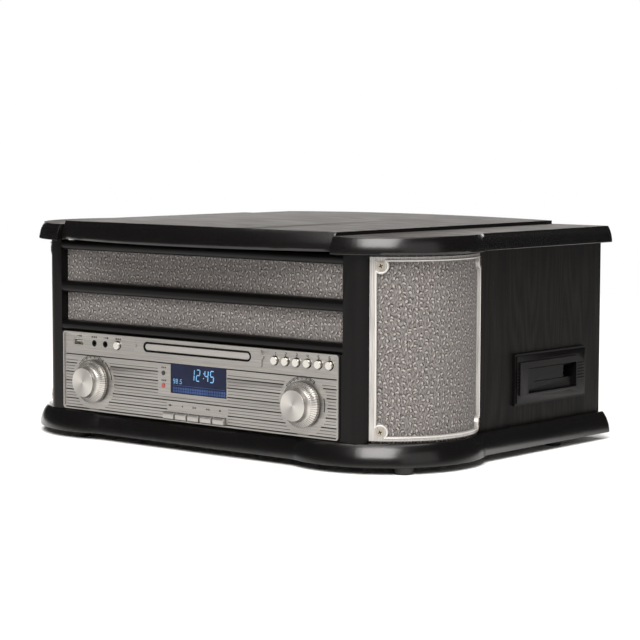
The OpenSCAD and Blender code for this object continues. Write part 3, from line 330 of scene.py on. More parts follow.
@dataclass(frozen=True)
class TurnedMetal(Finish):
    """Aluminium turned on a lathe about an axis along Y: rings, a painted reflection that fans light and dark round
    the axis, and fine flutes outside with painted shade in their furrows.
    """

    centre_x: float = 0.0
    centre_z: float = 0.0
    flutes: int = 56
    fluted: tuple[float, float] = (15.4, 20.6)
    # The darker side of the painted reflection that fans round the axis; the finish's colour is its lighter side
    deep: str = "9b9894"
    # The colour of the painted shade in the flutes' furrows
    furrow_shade: str = "3c3a38"
    relief_mm: float = 0.02

    def pattern(self, tree: bpy.types.NodeTree, shader: bpy.types.Node) -> None:
        """Adds the tool rings as relief, the painted reflection fanned round the axis and the painted shade in the
        furrows of the flutes.
        """
        where = place_mm(tree, centre=(self.centre_x, 0.0, self.centre_z))
        split = add_node(tree, "SeparateXYZ", {"Vector": where})
        radius = add_node(tree, "CombineXYZ", {"X": split.outputs["X"], "Y": split.outputs["Z"]})
        length = add_node(tree, "VectorMath", {0: radius.outputs["Vector"]}, operation="LENGTH")
        reach = length.outputs["Value"]
        rings = add_node(tree, "TexNoise", {"W": reach, "Scale": 2.2, "Detail": 2.0}, noise_dimensions="1D")
        angle = calc(tree, "ARCTAN2", split.outputs["Z"], split.outputs["X"])
        # Painted reflection: sectors round the axis are lighter and darker, standing in for the sheen of the turned
        # metal
        painted_fan = calc(tree, "COSINE", calc(tree, "MULTIPLY_ADD", angle, 2.0, 0.9))
        shade = mix(tree, spread(tree, painted_fan, -1.0, 1.0), linear(self.deep), linear(self.colour))
        # Painted shade in the furrows between the flutes, which have no relief of their own
        crest = calc(tree, "SINE", calc(tree, "MULTIPLY_ADD", angle, float(self.flutes), 0.0))
        furrow_shade = spread(tree, crest, -0.1, -0.9, 0.0, 0.55)
        first, last = self.fluted
        inner, outer = spread(tree, reach, first, first + 0.6), spread(tree, reach, last, last - 0.6)
        cut = calc(tree, "MULTIPLY", calc(tree, "MULTIPLY", inner, outer), furrow_shade)
        tree.links.new(mix(tree, cut, shade, linear(self.furrow_shade)), shader.inputs["Base Color"])
        bump(tree, shader, rings.outputs["Fac"], self.relief_mm)


@dataclass(frozen=True)
class Lit(Finish):
    """Lit plastic, such as a display's glowing figures or a lamp."""

    glow: float = 1.0

    def pattern(self, tree: bpy.types.NodeTree, shader: bpy.types.Node) -> None:
        """Adds the glow, a little uneven as a light behind a window is."""
        dim = tuple(c * 0.7 for c in linear(self.colour)[:3]) + (1.0,)
        tint = ramp(tree, noise(tree, place_mm(tree), 0.08, 1.0), (0.3, dim), (0.7, linear(self.colour)))
        for socket in ("Base Color", "Emission Color"):
            tree.links.new(tint, shader.inputs[socket])
        shader.inputs["Emission Strength"].default_value = self.glow


# Satin black lacquer on shaped board: near black, with soft broad highlights along its rounded edges
LACQUER = SatinLacquer("satin_black_lacquer", "0c0b0b", roughness=0.22, ior=1.45)
# The thin sealing coat on the undersides of the lid and the shoulders, which are not polished
UNDERSIDE = MouldedPlastic("black_sealed_underside", "0a0909", roughness=0.55, ior=1.12, depth_mm=0.01)
# Black-stained ash veneer, grain standing upright on the side walls
ASH_UPRIGHT = BlackAsh("black_ash_upright", "171513", roughness=0.42, ior=1.2, along=Axis.Z)
# The same veneer laid across the lid, and on the shoulders' tops: the grain runs from side to side, and its colour is
# much lighter than on the walls, a painted sheen where the tops catch light at a grazing angle
ASH_ACROSS = BlackAsh("black_ash_across_painted_sheen", "413c38", roughness=0.42, along=Axis.X,
                      figure=0.16, deepest="1f1d1b")
# Black ABS of the front moulding: satin, catching a thin line of light on its rails
ABS_FRONT = MouldedPlastic("black_abs_front", "0a0909", roughness=0.3, ior=1.24, depth_mm=0.01)
# Black ABS of the cassette bezel and the deck: duller, with a blasted grain
ABS_MATT = MouldedPlastic("black_abs_matt", "0b0a0a", roughness=0.36, ior=1.2, depth_mm=0.02)
# Grille cloth: grey yarn with white slubs, each with a painted shadow on its flanks
TWEED = TweedCloth("tweed_grille_cloth", "7f7b79", roughness=0.95, ior=1.3)
# Silver film on the control panel, brushed from side to side
SILVER_PANEL = BrushedSilver("brushed_silver_panel", "a3a09c", roughness=0.36, metallic=0.8)
# Painted shade of the thin lines pressed between the grooves: a dull dark colour laid on the panel as flat bars
PRESSED_LINE_SHADE = MouldedPlastic("pressed_line_painted_shade", "4e4c4a", roughness=0.6, depth_mm=0.0)
# Silver film on the speaker frames, brushed upright
SILVER_FRAME = BrushedSilver("brushed_silver_frame", "c2bfbb", roughness=0.36, metallic=0.55, along=Axis.Z)
# The bead rolled along the frames' windows: a lighter, less metallic silver than the frame, as a painted highlight
# along it
SILVER_BEAD = MouldedPlastic("silver_bead_painted_highlight", "d4d2ce", roughness=0.36, metallic=0.3, depth_mm=0.004)
# Chromed ABS of the round buttons and screws
CHROME = MouldedPlastic("satin_chrome_plate", "c2bfb9", roughness=0.16, metallic=1.0, depth_mm=0.004)
# Silver-painted ABS of the keys and the drawer
SILVER_PAINT = MouldedPlastic("silver_painted_abs", "a5a29e", roughness=0.36, metallic=0.75, depth_mm=0.006)
# Raw particle board of the speaker baffles
BOARD = MouldedPlastic("raw_board", "8f7552", roughness=0.8, grain_mm=2.0, depth_mm=0.1)
# Black-painted hardboard of the back panel
BACK_BOARD = MouldedPlastic("painted_hardboard", "201f1e", roughness=0.7, grain_mm=1.2, depth_mm=0.05)
# Green fibre board of the circuits
FIBRE = MouldedPlastic("green_fibre_board", "2c6a3e", roughness=0.4, depth_mm=0.02)
# Grey ABS of the mechanisms
ABS_GREY = MouldedPlastic("grey_abs", "86888b", roughness=0.5)
# Cast and turned aluminium of the platter
CAST = MouldedPlastic("cast_aluminium", "8f8e8b", roughness=0.4, metallic=1.0, depth_mm=0.03)
# Zinc-plated steel of the hinges, motor and sockets
ZINC = MouldedPlastic("zinc_plated_steel", "b3b1ab", roughness=0.32, metallic=1.0, depth_mm=0.01)
# Turned brass of the pulley
BRASS = MouldedPlastic("turned_brass", "c9a550", roughness=0.3, metallic=1.0, depth_mm=0.01)
# Black rubber of the feet, mat and belt
RUBBER = MouldedPlastic("black_rubber", "1a1918", roughness=0.75, depth_mm=0.05)
# Off-white rubber of the bumpers under the lid
WHITE_RUBBER = MouldedPlastic("white_rubber", "f2efe8", roughness=0.6)
# Paper cone and stamped basket of the speakers
PAPER = MouldedPlastic("black_paper_cone", "2b2a29", roughness=0.85, grain_mm=1.5, depth_mm=0.1)
# Grey ABS of the arm's yoke and the speed switch
ABS_DARK = MouldedPlastic("dark_grey_abs", "4c4a48", roughness=0.45)
# Clear red lamp, lit
LAMP = Lit("lit_red_lamp", "98423d", roughness=0.25, glow=0.15)
# Dark window over the display, lit blue from behind
DISPLAY = Lit("lit_blue_display", "151a2f", roughness=0.12, ior=1.2, glow=0.4)
# The display's glowing figures
FIGURES = Lit("glowing_figures", "6297c0", roughness=0.3, glow=0.55)
# The display's dimmer scale along its lower edge
SCALE = Lit("glowing_scale", "2d3e64", roughness=0.3, ior=1.2, glow=0.5)
# Ink printed on the panel: legends as plain signs, and the arcs round the dials
INK = MouldedPlastic("dark_grey_ink", "2a2827", roughness=0.6, depth_mm=0.0)
# Painted shade on the floor and walls of the panel's deep grooves: a near-black colour for the faces that lie behind
# the panel's face
GROOVE_SHADE = MouldedPlastic("groove_painted_shade", "1c1b1a", roughness=0.6)
# Yellow-passivated steel of the cross-headed screws
SCREW = MouldedPlastic("passivated_screw_steel", "a49c8e", roughness=0.32, metallic=1.0, depth_mm=0.004)
# Painted shade: a black sheet laid where a recess, slot or gap lies in shadow
RECESS_SHADE = MouldedPlastic("recess_painted_shade", "080808", roughness=0.8, ior=1.2)
# Dark clear cap over the remote control's eye
EYE = MouldedPlastic("dark_clear_cap", "120d10", roughness=0.12, depth_mm=0.002)


def finish_nodes(finish: Finish, *nodes: str) -> None:
    """Gives carried-over nodes a finish."""
    material = finish.make()
    for name in nodes:
        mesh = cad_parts[name].data
        mesh.materials.clear()
        mesh.materials.append(material)
    LOG.info("%s on %s", finish.name, ", ".join(nodes))


@dataclass
class Piece:
    """A new piece of the model: its mesh, finish, the body that it rides on and the nodes that it stands for."""

    name: str
    body: str
    slot: str
    replaces: tuple[str, ...] = ()

    def link(self, bm: bmesh.types.BMesh, material: bpy.types.Material, smooth_deg: float = 35.0) -> bpy.types.Object:
        """Turns a bmesh into a placed, dressed object.

        Args:
            bm: The shape, in metres, in the part's frame. It is freed.
            material: The finish.
            smooth_deg: Edges flatter than this are shaded smooth.

        Returns:
            The object.
        """
        mesh = bpy.data.meshes.new(self.name)
        bm.to_mesh(mesh)
        bm.free()
        mesh.shade_smooth()
        mesh.set_sharp_from_angle(angle=math.radians(smooth_deg))
        mesh.materials.append(material)
        piece = bpy.data.objects.new(self.name, mesh)
        bpy.context.scene.collection.objects.link(piece)
        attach(piece, self.body)
        if self.replaces:
            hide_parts(*self.replaces)
        LOG.info("piece %s: %d faces", self.name, len(mesh.polygons))
        return piece


def eased_copy(node: str, body: str, slot: str, finish: bpy.types.Material, radius_mm: float) -> bpy.types.Object:
    """Stands for a node with a copy whose edges are eased, as moulded, sanded and folded edges are.

    Args:
        node: The node to copy.
        body: The body that carries it.
        slot: The record's material slot, kept on the piece and not used.
        finish: The material.
        radius_mm: The radius of the eased edges.

    Returns:
        The copy.
    """
    bm = bmesh.new()
    bm.from_mesh(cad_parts[node].data)
    bmesh.ops.remove_doubles(bm, verts=bm.verts, dist=2e-6)
    bmesh.ops.dissolve_limit(bm, angle_limit=math.radians(0.05), verts=bm.verts, edges=bm.edges)
    piece = Piece(node + "_eased", body, slot, (node,)).link(bm, finish, 30.0)
    edges = piece.modifiers.new("eased_edges", "BEVEL")
    edges.width = radius_mm * MM
    edges.segments = 2
    edges.limit_method = "ANGLE"
    edges.angle_limit = math.radians(35)
    edges.harden_normals = True
    return piece


@dataclass
class GrilleCloth:
    """The cloth of the two front strips and the two curved speaker fronts."""

    strip_w: float = 349.6
    strip_y: float = FRONT_Y + 8.4
    low: tuple[float, float] = (111.6, 138.2)
    high: tuple[float, float] = (149.2, 179.0)
    lobe_r: float = 78.0
    turn: tuple[float, float] = (-62.4, 34.1)
    wall: tuple[float, float] = (26.0, 188.4)
    thickness: float = 1.2
    material: bpy.types.Material | None = None

    def strip(self, name: str, heights: tuple[float, float], replaces: tuple[str, ...]) -> bpy.types.Object:
        """Makes one flat strip of cloth, stretched on its board.

        Args:
            name: The piece's name.
            heights: Its lower and upper edges, in millimetres.
            replaces: The nodes that it stands for.

        Returns:
            The strip.
        """
        tall = heights[1] - heights[0]
        bm = bmesh.new()
        grid = bmesh.ops.create_grid(bm, x_segments=60, y_segments=6, size=0.5)
        fit = Matrix.Translation((0, self.strip_y * MM, sum(heights) / 2 * MM)) @ Matrix.Rotation(
            math.radians(90), 4, "X") @ Matrix.Diagonal((self.strip_w * MM, tall * MM, 1, 1))
        bmesh.ops.transform(bm, matrix=fit, verts=grid["verts"])
        uv = bm.loops.layers.uv.new("cut")
        for face in bm.faces:
            for loop in face.loops:
                loop[uv].uv = (loop.vert.co.x + 0.2, loop.vert.co.z)
        bmesh.ops.solidify(bm, geom=bm.faces, thickness=self.thickness * MM)
        piece = Piece(name, "cabinet", "grille_cloth", replaces).link(bm, self.material)
        return piece

    def curved(self, side: int, name: str, replaces: tuple[str, ...]) -> bpy.types.Object:
        """Makes the cloth of one curved speaker front.

        Args:
            side: 1 on the right, -1 on the left.
            name: The piece's name.
            replaces: The nodes that it stands for.

        Returns:
            The cloth.
        """
        low, high = self.wall
        start, end = (math.radians(a) for a in self.turn)
        bm = bmesh.new()
        edge = [bm.verts.new((0.0, -self.lobe_r * MM, (low + (high - low) * i / 8) * MM)) for i in range(9)]
        rail = [bm.edges.new((a, b)) for a, b in zip(edge, edge[1:])]
        bmesh.ops.rotate(bm, cent=(0, 0, 0), matrix=Matrix.Rotation(start + math.pi / 2, 3, "Z"), verts=edge)
        bmesh.ops.spin(bm, geom=edge + rail, cent=(0, 0, 0), axis=(0, 0, 1), angle=end - start, steps=40,
                       use_merge=False)
        uv = bm.loops.layers.uv.new("cut")
        for face in bm.faces:
            for loop in face.loops:
                co = loop.vert.co
                loop[uv].uv = (math.atan2(co.y, co.x) * self.lobe_r * MM, co.z)
        bmesh.ops.translate(bm, vec=(LOBE_X * MM, LOBE_Y * MM, 0), verts=bm.verts)
        if side < 0:
            bmesh.ops.scale(bm, vec=(-1, 1, 1), verts=bm.verts)
        bmesh.ops.recalc_face_normals(bm, faces=bm.faces)
        middle = Vector((side * LOBE_X * MM, LOBE_Y * MM, 0))
        face = bm.faces[:][0]
        outward = face.calc_center_median() - middle
        outward.z = 0
        if face.normal.dot(outward) < 0:
            bmesh.ops.reverse_faces(bm, faces=bm.faces)
        bmesh.ops.solidify(bm, geom=bm.faces, thickness=self.thickness * MM)
        piece = Piece(name, "cabinet", "grille_cloth", replaces).link(bm, self.material)
        return piece

    def build(self) -> None:
        """Makes all four cloths."""
        self.material = TWEED.make()
        self.strip("cloth_strip_low", self.low, ("cloth_strips",))
        self.strip("cloth_strip_high", self.high, ())
        self.curved(1, "cloth_curved_right", ("speaker_cloth_right",))
        self.curved(-1, "cloth_curved_left", ("speaker_cloth_left",))


@dataclass
class Cabinet:
    """The case: plinth, walls, front moulding, shoulders, lid and the parts under the lid."""

    edge_mm: float = 0.7
    lid_edge_mm: float = 0.3
    wall_edge_mm: float = 0.4
    flat: float = 0.97
    under: float = -0.05

    def build(self) -> None:
        """Dresses the case."""
        lacquer, across = LACQUER.make(), ASH_ACROSS.make()
        eased_copy("base_plinth", "cabinet", "lacquer_black", lacquer, self.edge_mm)
        tops = [eased_copy(f"top_shoulder_{side}", "cabinet", "lacquer_black", lacquer, self.edge_mm)
                for side in ("left", "right")]
        tops.append(eased_copy("lid", "lid_assembly", "ash_black", lacquer, self.lid_edge_mm))
        shaded = UNDERSIDE.make()
        for top in tops:
            top.data.materials.append(across)
            top.data.materials.append(shaded)
            for face in top.data.polygons:
                # Faces facing up take the lighter across-grain ash with its painted sheen, faces facing down the dull
                # underside, the rest the lacquer
                face.material_index = 2 if face.normal.z < self.under else int(face.normal.z > self.flat)
        upright = ASH_UPRIGHT.make()
        for node in ("side_panel_left", "side_panel_right"):
            eased_copy(node, "cabinet", "ash_black", upright, self.wall_edge_mm)
        eased_copy("front_frame", "cabinet", "frame_black", ABS_FRONT.make(), self.wall_edge_mm)
        finish_nodes(BACK_BOARD, "back_panel")
        finish_nodes(BOARD, "speaker_baffles")
        finish_nodes(PAPER, "speaker_driver_left", "speaker_driver_right")
        finish_nodes(ZINC, "hinge_leaves_body", "hinge_leaves_lid", "motor", "usb_socket")
        finish_nodes(RUBBER, "feet", "platter_mat", "drive_belt")
        finish_nodes(WHITE_RUBBER, "lid_bumpers")
        finish_nodes(ABS_MATT, "turntable_deck", "jack_sockets", "line_out_sockets", "mains_inlet")
        finish_nodes(CAST, "platter")
        finish_nodes(BRASS, "motor_pulley")
        finish_nodes(ABS_DARK, "tonearm_yoke", "speed_switch")
        finish_nodes(SILVER_PAINT, "tonearm")
        finish_nodes(FIBRE, "front_circuit_board", "main_circuit_board")
        finish_nodes(ABS_GREY, "cd_mechanism", "cassette_mechanism")


def islands(edges: set[bmesh.types.BMEdge]) -> list[list[bmesh.types.BMEdge]]:
    """Splits edges into the groups that hang together.

    Args:
        edges: The edges, all of one mesh.

    Returns:
        The groups, in the order in which the mesh holds their first edges.
    """
    groups, left = [], set(edges)
    for first in sorted(edges, key=lambda edge: edge.index):
        if first not in left:
            continue
        left.discard(first)
        group = [first]
        for edge in group:
            near = sorted({link for vert in edge.verts for link in vert.link_edges} & left, key=lambda e: e.index)
            left.difference_update(near)
            group.extend(near)
        groups.append(group)
    return groups


@dataclass
class SpeakerFrames:
    """The silver frames round the curved cloths, the beads along their windows and their screws."""

    bead_r: float = 0.5
    sharp: float = math.radians(40)
    slot: tuple[float, float, float] = (3.6, 0.8, 0.4)
    border_mm: float = 2.0

    def build(self) -> None:
        """Dresses the frames and the screws."""
        silver, bead = SILVER_FRAME.make(), SILVER_BEAD.make()
        for sign, side in ((-1, "left"), (1, "right")):
            eased_copy(f"speaker_frame_{side}", "cabinet", "trim_silver", silver, 0.4)
            self.beads(side, sign, bead)
        finish_nodes(SCREW, "frame_screws")
        self.recesses()

    def beads(self, side: str, sign: int, material: bpy.types.Material) -> None:
        """Lays a thin round bead along the edge of one frame's window.

        Args:
            side: "left" or "right".
            sign: -1 on the left, 1 on the right.
            material: The finish.
        """
        shape = bmesh.new()
        shape.from_mesh(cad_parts[f"speaker_frame_{side}"].data)
        bmesh.ops.remove_doubles(shape, verts=shape.verts, dist=2e-6)
        shape.edges.index_update()
        axis = Vector((sign * LOBE_X, LOBE_Y, 0)) * MM
        reach = {v: (v.co - axis).xy.length for v in shape.verts}
        turn = {v: math.atan2(v.co.y - axis.y, sign * (v.co.x - axis.x)) for v in shape.verts}
        tall = [v.co.z for v in shape.verts]
        outer, border = max(reach.values()), self.border_mm * MM
        swing = border / outer
        inside = {v for v in shape.verts if outer - reach[v] < 0.1 * MM
                  and min(tall) + border < v.co.z < max(tall) - border
                  and min(turn.values()) + swing < turn[v] < max(turn.values()) - swing}
        edges = {edge for edge in shape.edges
                 if inside.issuperset(edge.verts) and edge.calc_face_angle(0.0) > self.sharp}
        window = max(islands(edges), key=lambda chain: sum(edge.calc_length() for edge in chain))
        bm = bmesh.new()
        for edge in window:
            run = edge.verts[1].co - edge.verts[0].co
            middle = (edge.verts[0].co + edge.verts[1].co) / 2
            fit = Matrix.Translation(middle) @ run.to_track_quat("Z", "Y").to_matrix().to_4x4()
            bmesh.ops.create_cone(bm, cap_ends=True, segments=8, radius1=self.bead_r * MM, radius2=self.bead_r * MM,
                                  depth=run.length + self.bead_r * MM / 2, matrix=fit)
        shape.free()
        Piece(f"frame_bead_{side}", "cabinet", "trim_silver").link(bm, material, 60.0)

    def recesses(self) -> None:
        """Lays two dark bars of painted shade in each screw's head, where its cross recess falls dark."""
        heads = bmesh.new()
        heads.from_mesh(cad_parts["frame_screws"].data)
        bmesh.ops.remove_doubles(heads, verts=heads.verts, dist=2e-6)
        heads.edges.index_update()
        heads.verts.index_update()
        bm = bmesh.new()
        for head in islands(set(heads.edges)):
            island = sorted({vert for edge in head for vert in edge.verts}, key=lambda vert: vert.index)
            middle = sum((v.co for v in island), Vector()) / len(island)
            side = math.copysign(1.0, middle.x)
            out = Vector((middle.x - side * LOBE_X * MM, middle.y - LOBE_Y * MM, 0)).normalized()
            top = max(v.co.dot(out) for v in island)
            tall = [v.co.z for v in island]
            place = middle + out * (top - middle.dot(out) - 0.1 * MM)
            place.z = (min(tall) + max(tall)) / 2
            facing = Matrix.Translation(place) @ out.to_track_quat("Z", "X").to_matrix().to_4x4()
            size = Matrix.Diagonal((*(edge * MM for edge in self.slot), 1))
            for turn in (20, 110):
                bmesh.ops.create_cube(bm, size=1.0, matrix=facing @ Matrix.Rotation(math.radians(turn), 4, "Z") @ size)
        heads.free()
        Piece("screw_recess_shade", "cabinet", "screw_steel").link(bm, RECESS_SHADE.make())


def bar(bm: bmesh.types.BMesh, start: tuple[float, float], end: tuple[float, float], width: float, y: float,
        depth: float = 0.1) -> None:
    """Adds a straight flat bar that faces the front.

    Args:
        bm: The mesh to add to.
        start: The middle of its first end, X and Z in millimetres.
        end: The middle of its other end.
        width: Its width.
        y: Its middle's Y in millimetres.
        depth: Its thickness.
    """
    run = Vector((end[0] - start[0], 0, end[1] - start[1]))
    middle = Vector(((start[0] + end[0]) / 2, y, (start[1] + end[1]) / 2)) * MM
    turn = Matrix.Rotation(-math.atan2(run.z, run.x), 4, "Y")
    size = Matrix.Diagonal((run.length * MM, depth * MM, width * MM, 1))
    bmesh.ops.create_cube(bm, size=1.0, matrix=Matrix.Translation(middle) @ turn @ size)


def disc(bm: bmesh.types.BMesh, place: tuple[float, float], radius: float, y: float, depth: float = 0.1,
         corners: int = 24, turn: float = 0.0) -> None:
    """Adds a flat disc, or a regular shape with few corners, that faces the front.

    Args:
        bm: The mesh to add to.
        place: Its middle, X and Z in millimetres.
        radius: Its radius.
        y: Its middle's Y in millimetres.
        depth: Its thickness.
        corners: How many corners it has.
        turn: Its turn in degrees.
    """
    fit = Matrix.Translation(Vector((place[0], y, place[1])) * MM) @ Matrix.Rotation(
        math.radians(90), 4, "X") @ Matrix.Rotation(math.radians(turn), 4, "Z")
    bmesh.ops.create_cone(bm, cap_ends=True, segments=corners, radius1=radius * MM, radius2=radius * MM,
                          depth=depth * MM, matrix=fit)


def arc(bm: bmesh.types.BMesh, centre: tuple[float, float], radius: float, width: float, span: tuple[float, float],
        y: float, depth: float) -> None:
    """Adds a flat arc that faces the front.

    Args:
        bm: The mesh to add to.
        centre: Its centre, X and Z in millimetres.
        radius: Its middle radius.
        width: Its width.
        span: Its first and last angle in degrees, counted from +X towards +Z.
        y: Its middle's Y in millimetres.
        depth: Its thickness.
    """
    middle = Vector((centre[0], y, centre[1])) * MM
    start = bmesh.ops.create_grid(bm, x_segments=1, y_segments=1, size=0.5)["verts"]
    fit = Matrix.Translation(middle) @ Matrix.Rotation(math.radians(-span[0]), 4, "Y") @ Matrix.Translation(
        (radius * MM, 0, 0)) @ Matrix.Diagonal((width * MM, depth * MM, 1, 1))
    bmesh.ops.transform(bm, matrix=fit, verts=start)
    faces = list({face for vert in start for face in vert.link_faces})
    bmesh.ops.spin(bm, geom=faces, cent=middle, axis=(0, 1, 0), angle=math.radians(span[0] - span[1]),
                   steps=max(4, int(abs(span[1] - span[0]) / 4)), use_merge=False)


SEGMENTS = {"0": "abcdef", "1": "bc", "2": "abged", "3": "abgcd", "4": "fgbc", "5": "afgcd", "6": "afgedc",
            "7": "abc", "8": "abcdefg", "9": "abcdfg"}


def figure(bm: bmesh.types.BMesh, sign: str, place: tuple[float, float], size: tuple[float, float], stroke: float,
           y: float) -> None:
    """Adds one seven-segment figure, a colon or a point.

    Args:
        bm: The mesh to add to.
        sign: The figure.
        place: Its lower left corner, X and Z in millimetres.
        size: Its width and height.
        stroke: The width of its strokes.
        y: Its Y in millimetres.
    """
    (x, z), (w, h), lean = place, size, 0.08 * size[1]
    if sign in ":.":
        for up in (0.28, 0.72) if sign == ":" else (0.02,):
            disc(bm, (x + w / 2 + lean * up, z + h * up), stroke * 0.62, y, corners=8)
        return
    low, mid, top = ((x, z), (x + w, z)), ((x + lean / 2, z + h / 2), (x + w + lean / 2, z + h / 2)), (
        (x + lean, z + h), (x + w + lean, z + h))
    ends = {"a": top, "d": low, "g": mid, "f": (mid[0], top[0]), "b": (mid[1], top[1]), "e": (low[0], mid[0]),
            "c": (low[1], mid[1])}
    for name in SEGMENTS[sign]:
        (x0, z0), (x1, z1) = ends[name]
        gap = 0.08
        bar(bm, (x0 + (x1 - x0) * gap, z0 + (z1 - z0) * gap), (x1 - (x1 - x0) * gap, z1 - (z1 - z0) * gap), stroke, y)


class Sign(Enum):
    """Generic signs that any player carries: each is a list of arrows (turn) and bars between X offsets."""

    PLAY = (("arrow", 0.0, 0.0),)
    STOP = (("square", 0.0, 0.0),)
    NEXT = (("arrow", -0.5, 0.0), ("arrow", 0.7, 0.0), ("bar", 1.7, 0.0))
    BACK = (("bar", -1.7, 0.0), ("arrow", -0.7, 180.0), ("arrow", 0.5, 180.0))
    RECORD = (("dot", 0.0, 0.0), ("dash", 2.6, 0.0))
    INPUT = (("dash", -1.2, 0.0), ("arrow", 0.6, 0.0), ("dot", 2.2, 0.0))
    STEP = (("dot", -1.8, 0.0), ("dot", 0.0, 0.0), ("dot", 1.8, 0.0))


@dataclass
class PanelPrint:
    """The ink on the panel: generic signs over the keys and buttons, and an arc of ticks round each dial."""

    y: float = FRONT_Y - 0.53
    dial: tuple[float, float] = (131.0, 55.5)
    arc_mm: float = 24.4
    arc_w: float = 1.2
    tick_from: tuple[float, float] = (21.9, 22.8)
    tick_to: float = 25.0
    tick_w: tuple[float, float] = (1.3, 0.8)
    tick_span: tuple[float, float] = (58.0, 84.0)
    keys: tuple[tuple[float, Sign], ...] = ((-30.4, Sign.RECORD), (-14.8, Sign.PLAY), (0.8, Sign.BACK),
                                            (16.4, Sign.NEXT), (32.0, Sign.STOP))
    key_z: float = 41.0
    key_size: float = 1.6
    sockets: tuple[tuple[float, Sign], ...] = ((-151.2, Sign.INPUT), (-130.0, Sign.STEP), (-115.2, Sign.INPUT),
                                               (-97.8, Sign.STEP))
    socket_z: float = 97.6
    socket_size: float = 1.45
    lenses: tuple[tuple[float, float], ...] = ((-38.4, 63.4), (-38.4, 75.4))
    lens_size: float = 1.2
    first_number: tuple[float, float] = (97.2, 96.5)
    number_pitch: float = 12.54
    number_size: tuple[float, float] = (1.6, 2.9)
    number_stroke: float = 0.65
    arcs: tuple[tuple[int, tuple[float, float], int], ...] = ((-1, (7, 50), 19), (1, (-12, 16), 22))

    def sign(self, bm: bmesh.types.BMesh, what: Sign, x: float, z: float, size: float) -> None:
        """Prints one sign at a place in millimetres."""
        for kind, dx, turn in what.value:
            at = (x + dx * size, z)
            if kind == "arrow":
                disc(bm, at, size * 0.75, self.y, PRINT_T, 3, turn + 90)
            elif kind == "square":
                disc(bm, at, size * 0.85, self.y, PRINT_T, 4, 45)
            elif kind == "dot":
                disc(bm, at, size * 0.7, self.y, PRINT_T, 16)
            elif kind == "dash":
                bar(bm, (x - size * 1.6, z), (x + size * 1.6, z), 0.5, self.y, PRINT_T)
            else:
                bar(bm, (at[0], z - size * 0.7), (at[0], z + size * 0.7), 0.4, self.y, PRINT_T)

    def dial_marks(self, bm: bmesh.types.BMesh, side: int, span: tuple[float, float], ticks: int) -> None:
        """Prints the arc and the ticks round one dial.

        Args:
            bm: The mesh to add to.
            side: 1 for the right dial, -1 for the left.
            span: The arc's first and last angle in degrees.
            ticks: How many ticks it has.
        """
        centre = (side * self.dial[0], self.dial[1])
        arc(bm, centre, self.arc_mm, self.arc_w, span, self.y, PRINT_T)
        first, sweep = self.tick_span
        for i in range(ticks):
            turn, short = math.radians(first + i * (sweep / (ticks - 1))), int(i % 3 != 0)
            ends = [(centre[0] + r * math.cos(turn), centre[1] + r * math.sin(turn))
                    for r in (self.tick_from[short], self.tick_to)]
            bar(bm, ends[0], ends[1], self.tick_w[short], self.y, PRINT_T)

    def build(self) -> None:
        """Prints everything."""
        bm = bmesh.new()
        for x, what in self.keys:
            self.sign(bm, what, x, self.key_z, self.key_size)
        x, z = self.first_number
        for i in range(6):
            figure(bm, str(i + 1), (x + self.number_pitch * i, z), self.number_size, self.number_stroke, self.y)
        for x, what in self.sockets:
            self.sign(bm, what, x, self.socket_z, self.socket_size)
        for x, z in self.lenses:
            self.sign(bm, Sign.STEP, x, z, self.lens_size)
        for side, span, ticks in self.arcs:
            self.dial_marks(bm, side, span, ticks)
        bmesh.ops.recalc_face_normals(bm, faces=bm.faces)
        Piece("panel_print", "cabinet", "panel_silver").link(bm, INK.make())


@dataclass
class PressedLines:
    """The thin lines pressed into the panel, two between each pair of deep grooves, laid as flat bars of painted
    shade.
    """

    first_z: float = 28.72
    pitch: float = 8.48
    parts: int = 3
    count: int = 17
    half_w: float = 168.0
    shortest: float = 1.0
    width: float = 0.7
    y: float = FRONT_Y - 0.52
    dial: tuple[float, float, float] = (131.0, 55.5, 28.4)
    blocks: tuple[tuple[float, float, float, float], ...] = ((-46.2, 41.5, 49.5, 82.0), (-34.5, 42.0, 26.0, 44.8))

    def gaps(self, z: float) -> list[tuple[float, float]]:
        """Gives the spans that a line at a height leaves out: the dials' discs and the smooth blocks."""
        spans = [(x0, x1) for x0, x1, z0, z1 in self.blocks if z0 < z < z1]
        x, middle, radius = self.dial
        if abs(z - middle) < radius:
            reach = math.sqrt(radius ** 2 - (z - middle) ** 2)
            spans += [(-x - reach, -x + reach), (x - reach, x + reach)]
        return sorted(spans)

    def build(self) -> None:
        """Lays the lines as painted shade."""
        bm = bmesh.new()
        for i in range(self.count):
            if i % self.parts == 0:
                continue
            z = self.first_z + self.pitch * i / self.parts
            x = -self.half_w
            for start, end in self.gaps(z) + [(self.half_w, self.half_w)]:
                if start - x > self.shortest:
                    bar(bm, (x, z), (start, z), self.width, self.y)
                x = max(x, end)
        Piece("panel_line_shade", "cabinet", "panel_silver").link(bm, PRESSED_LINE_SHADE.make())


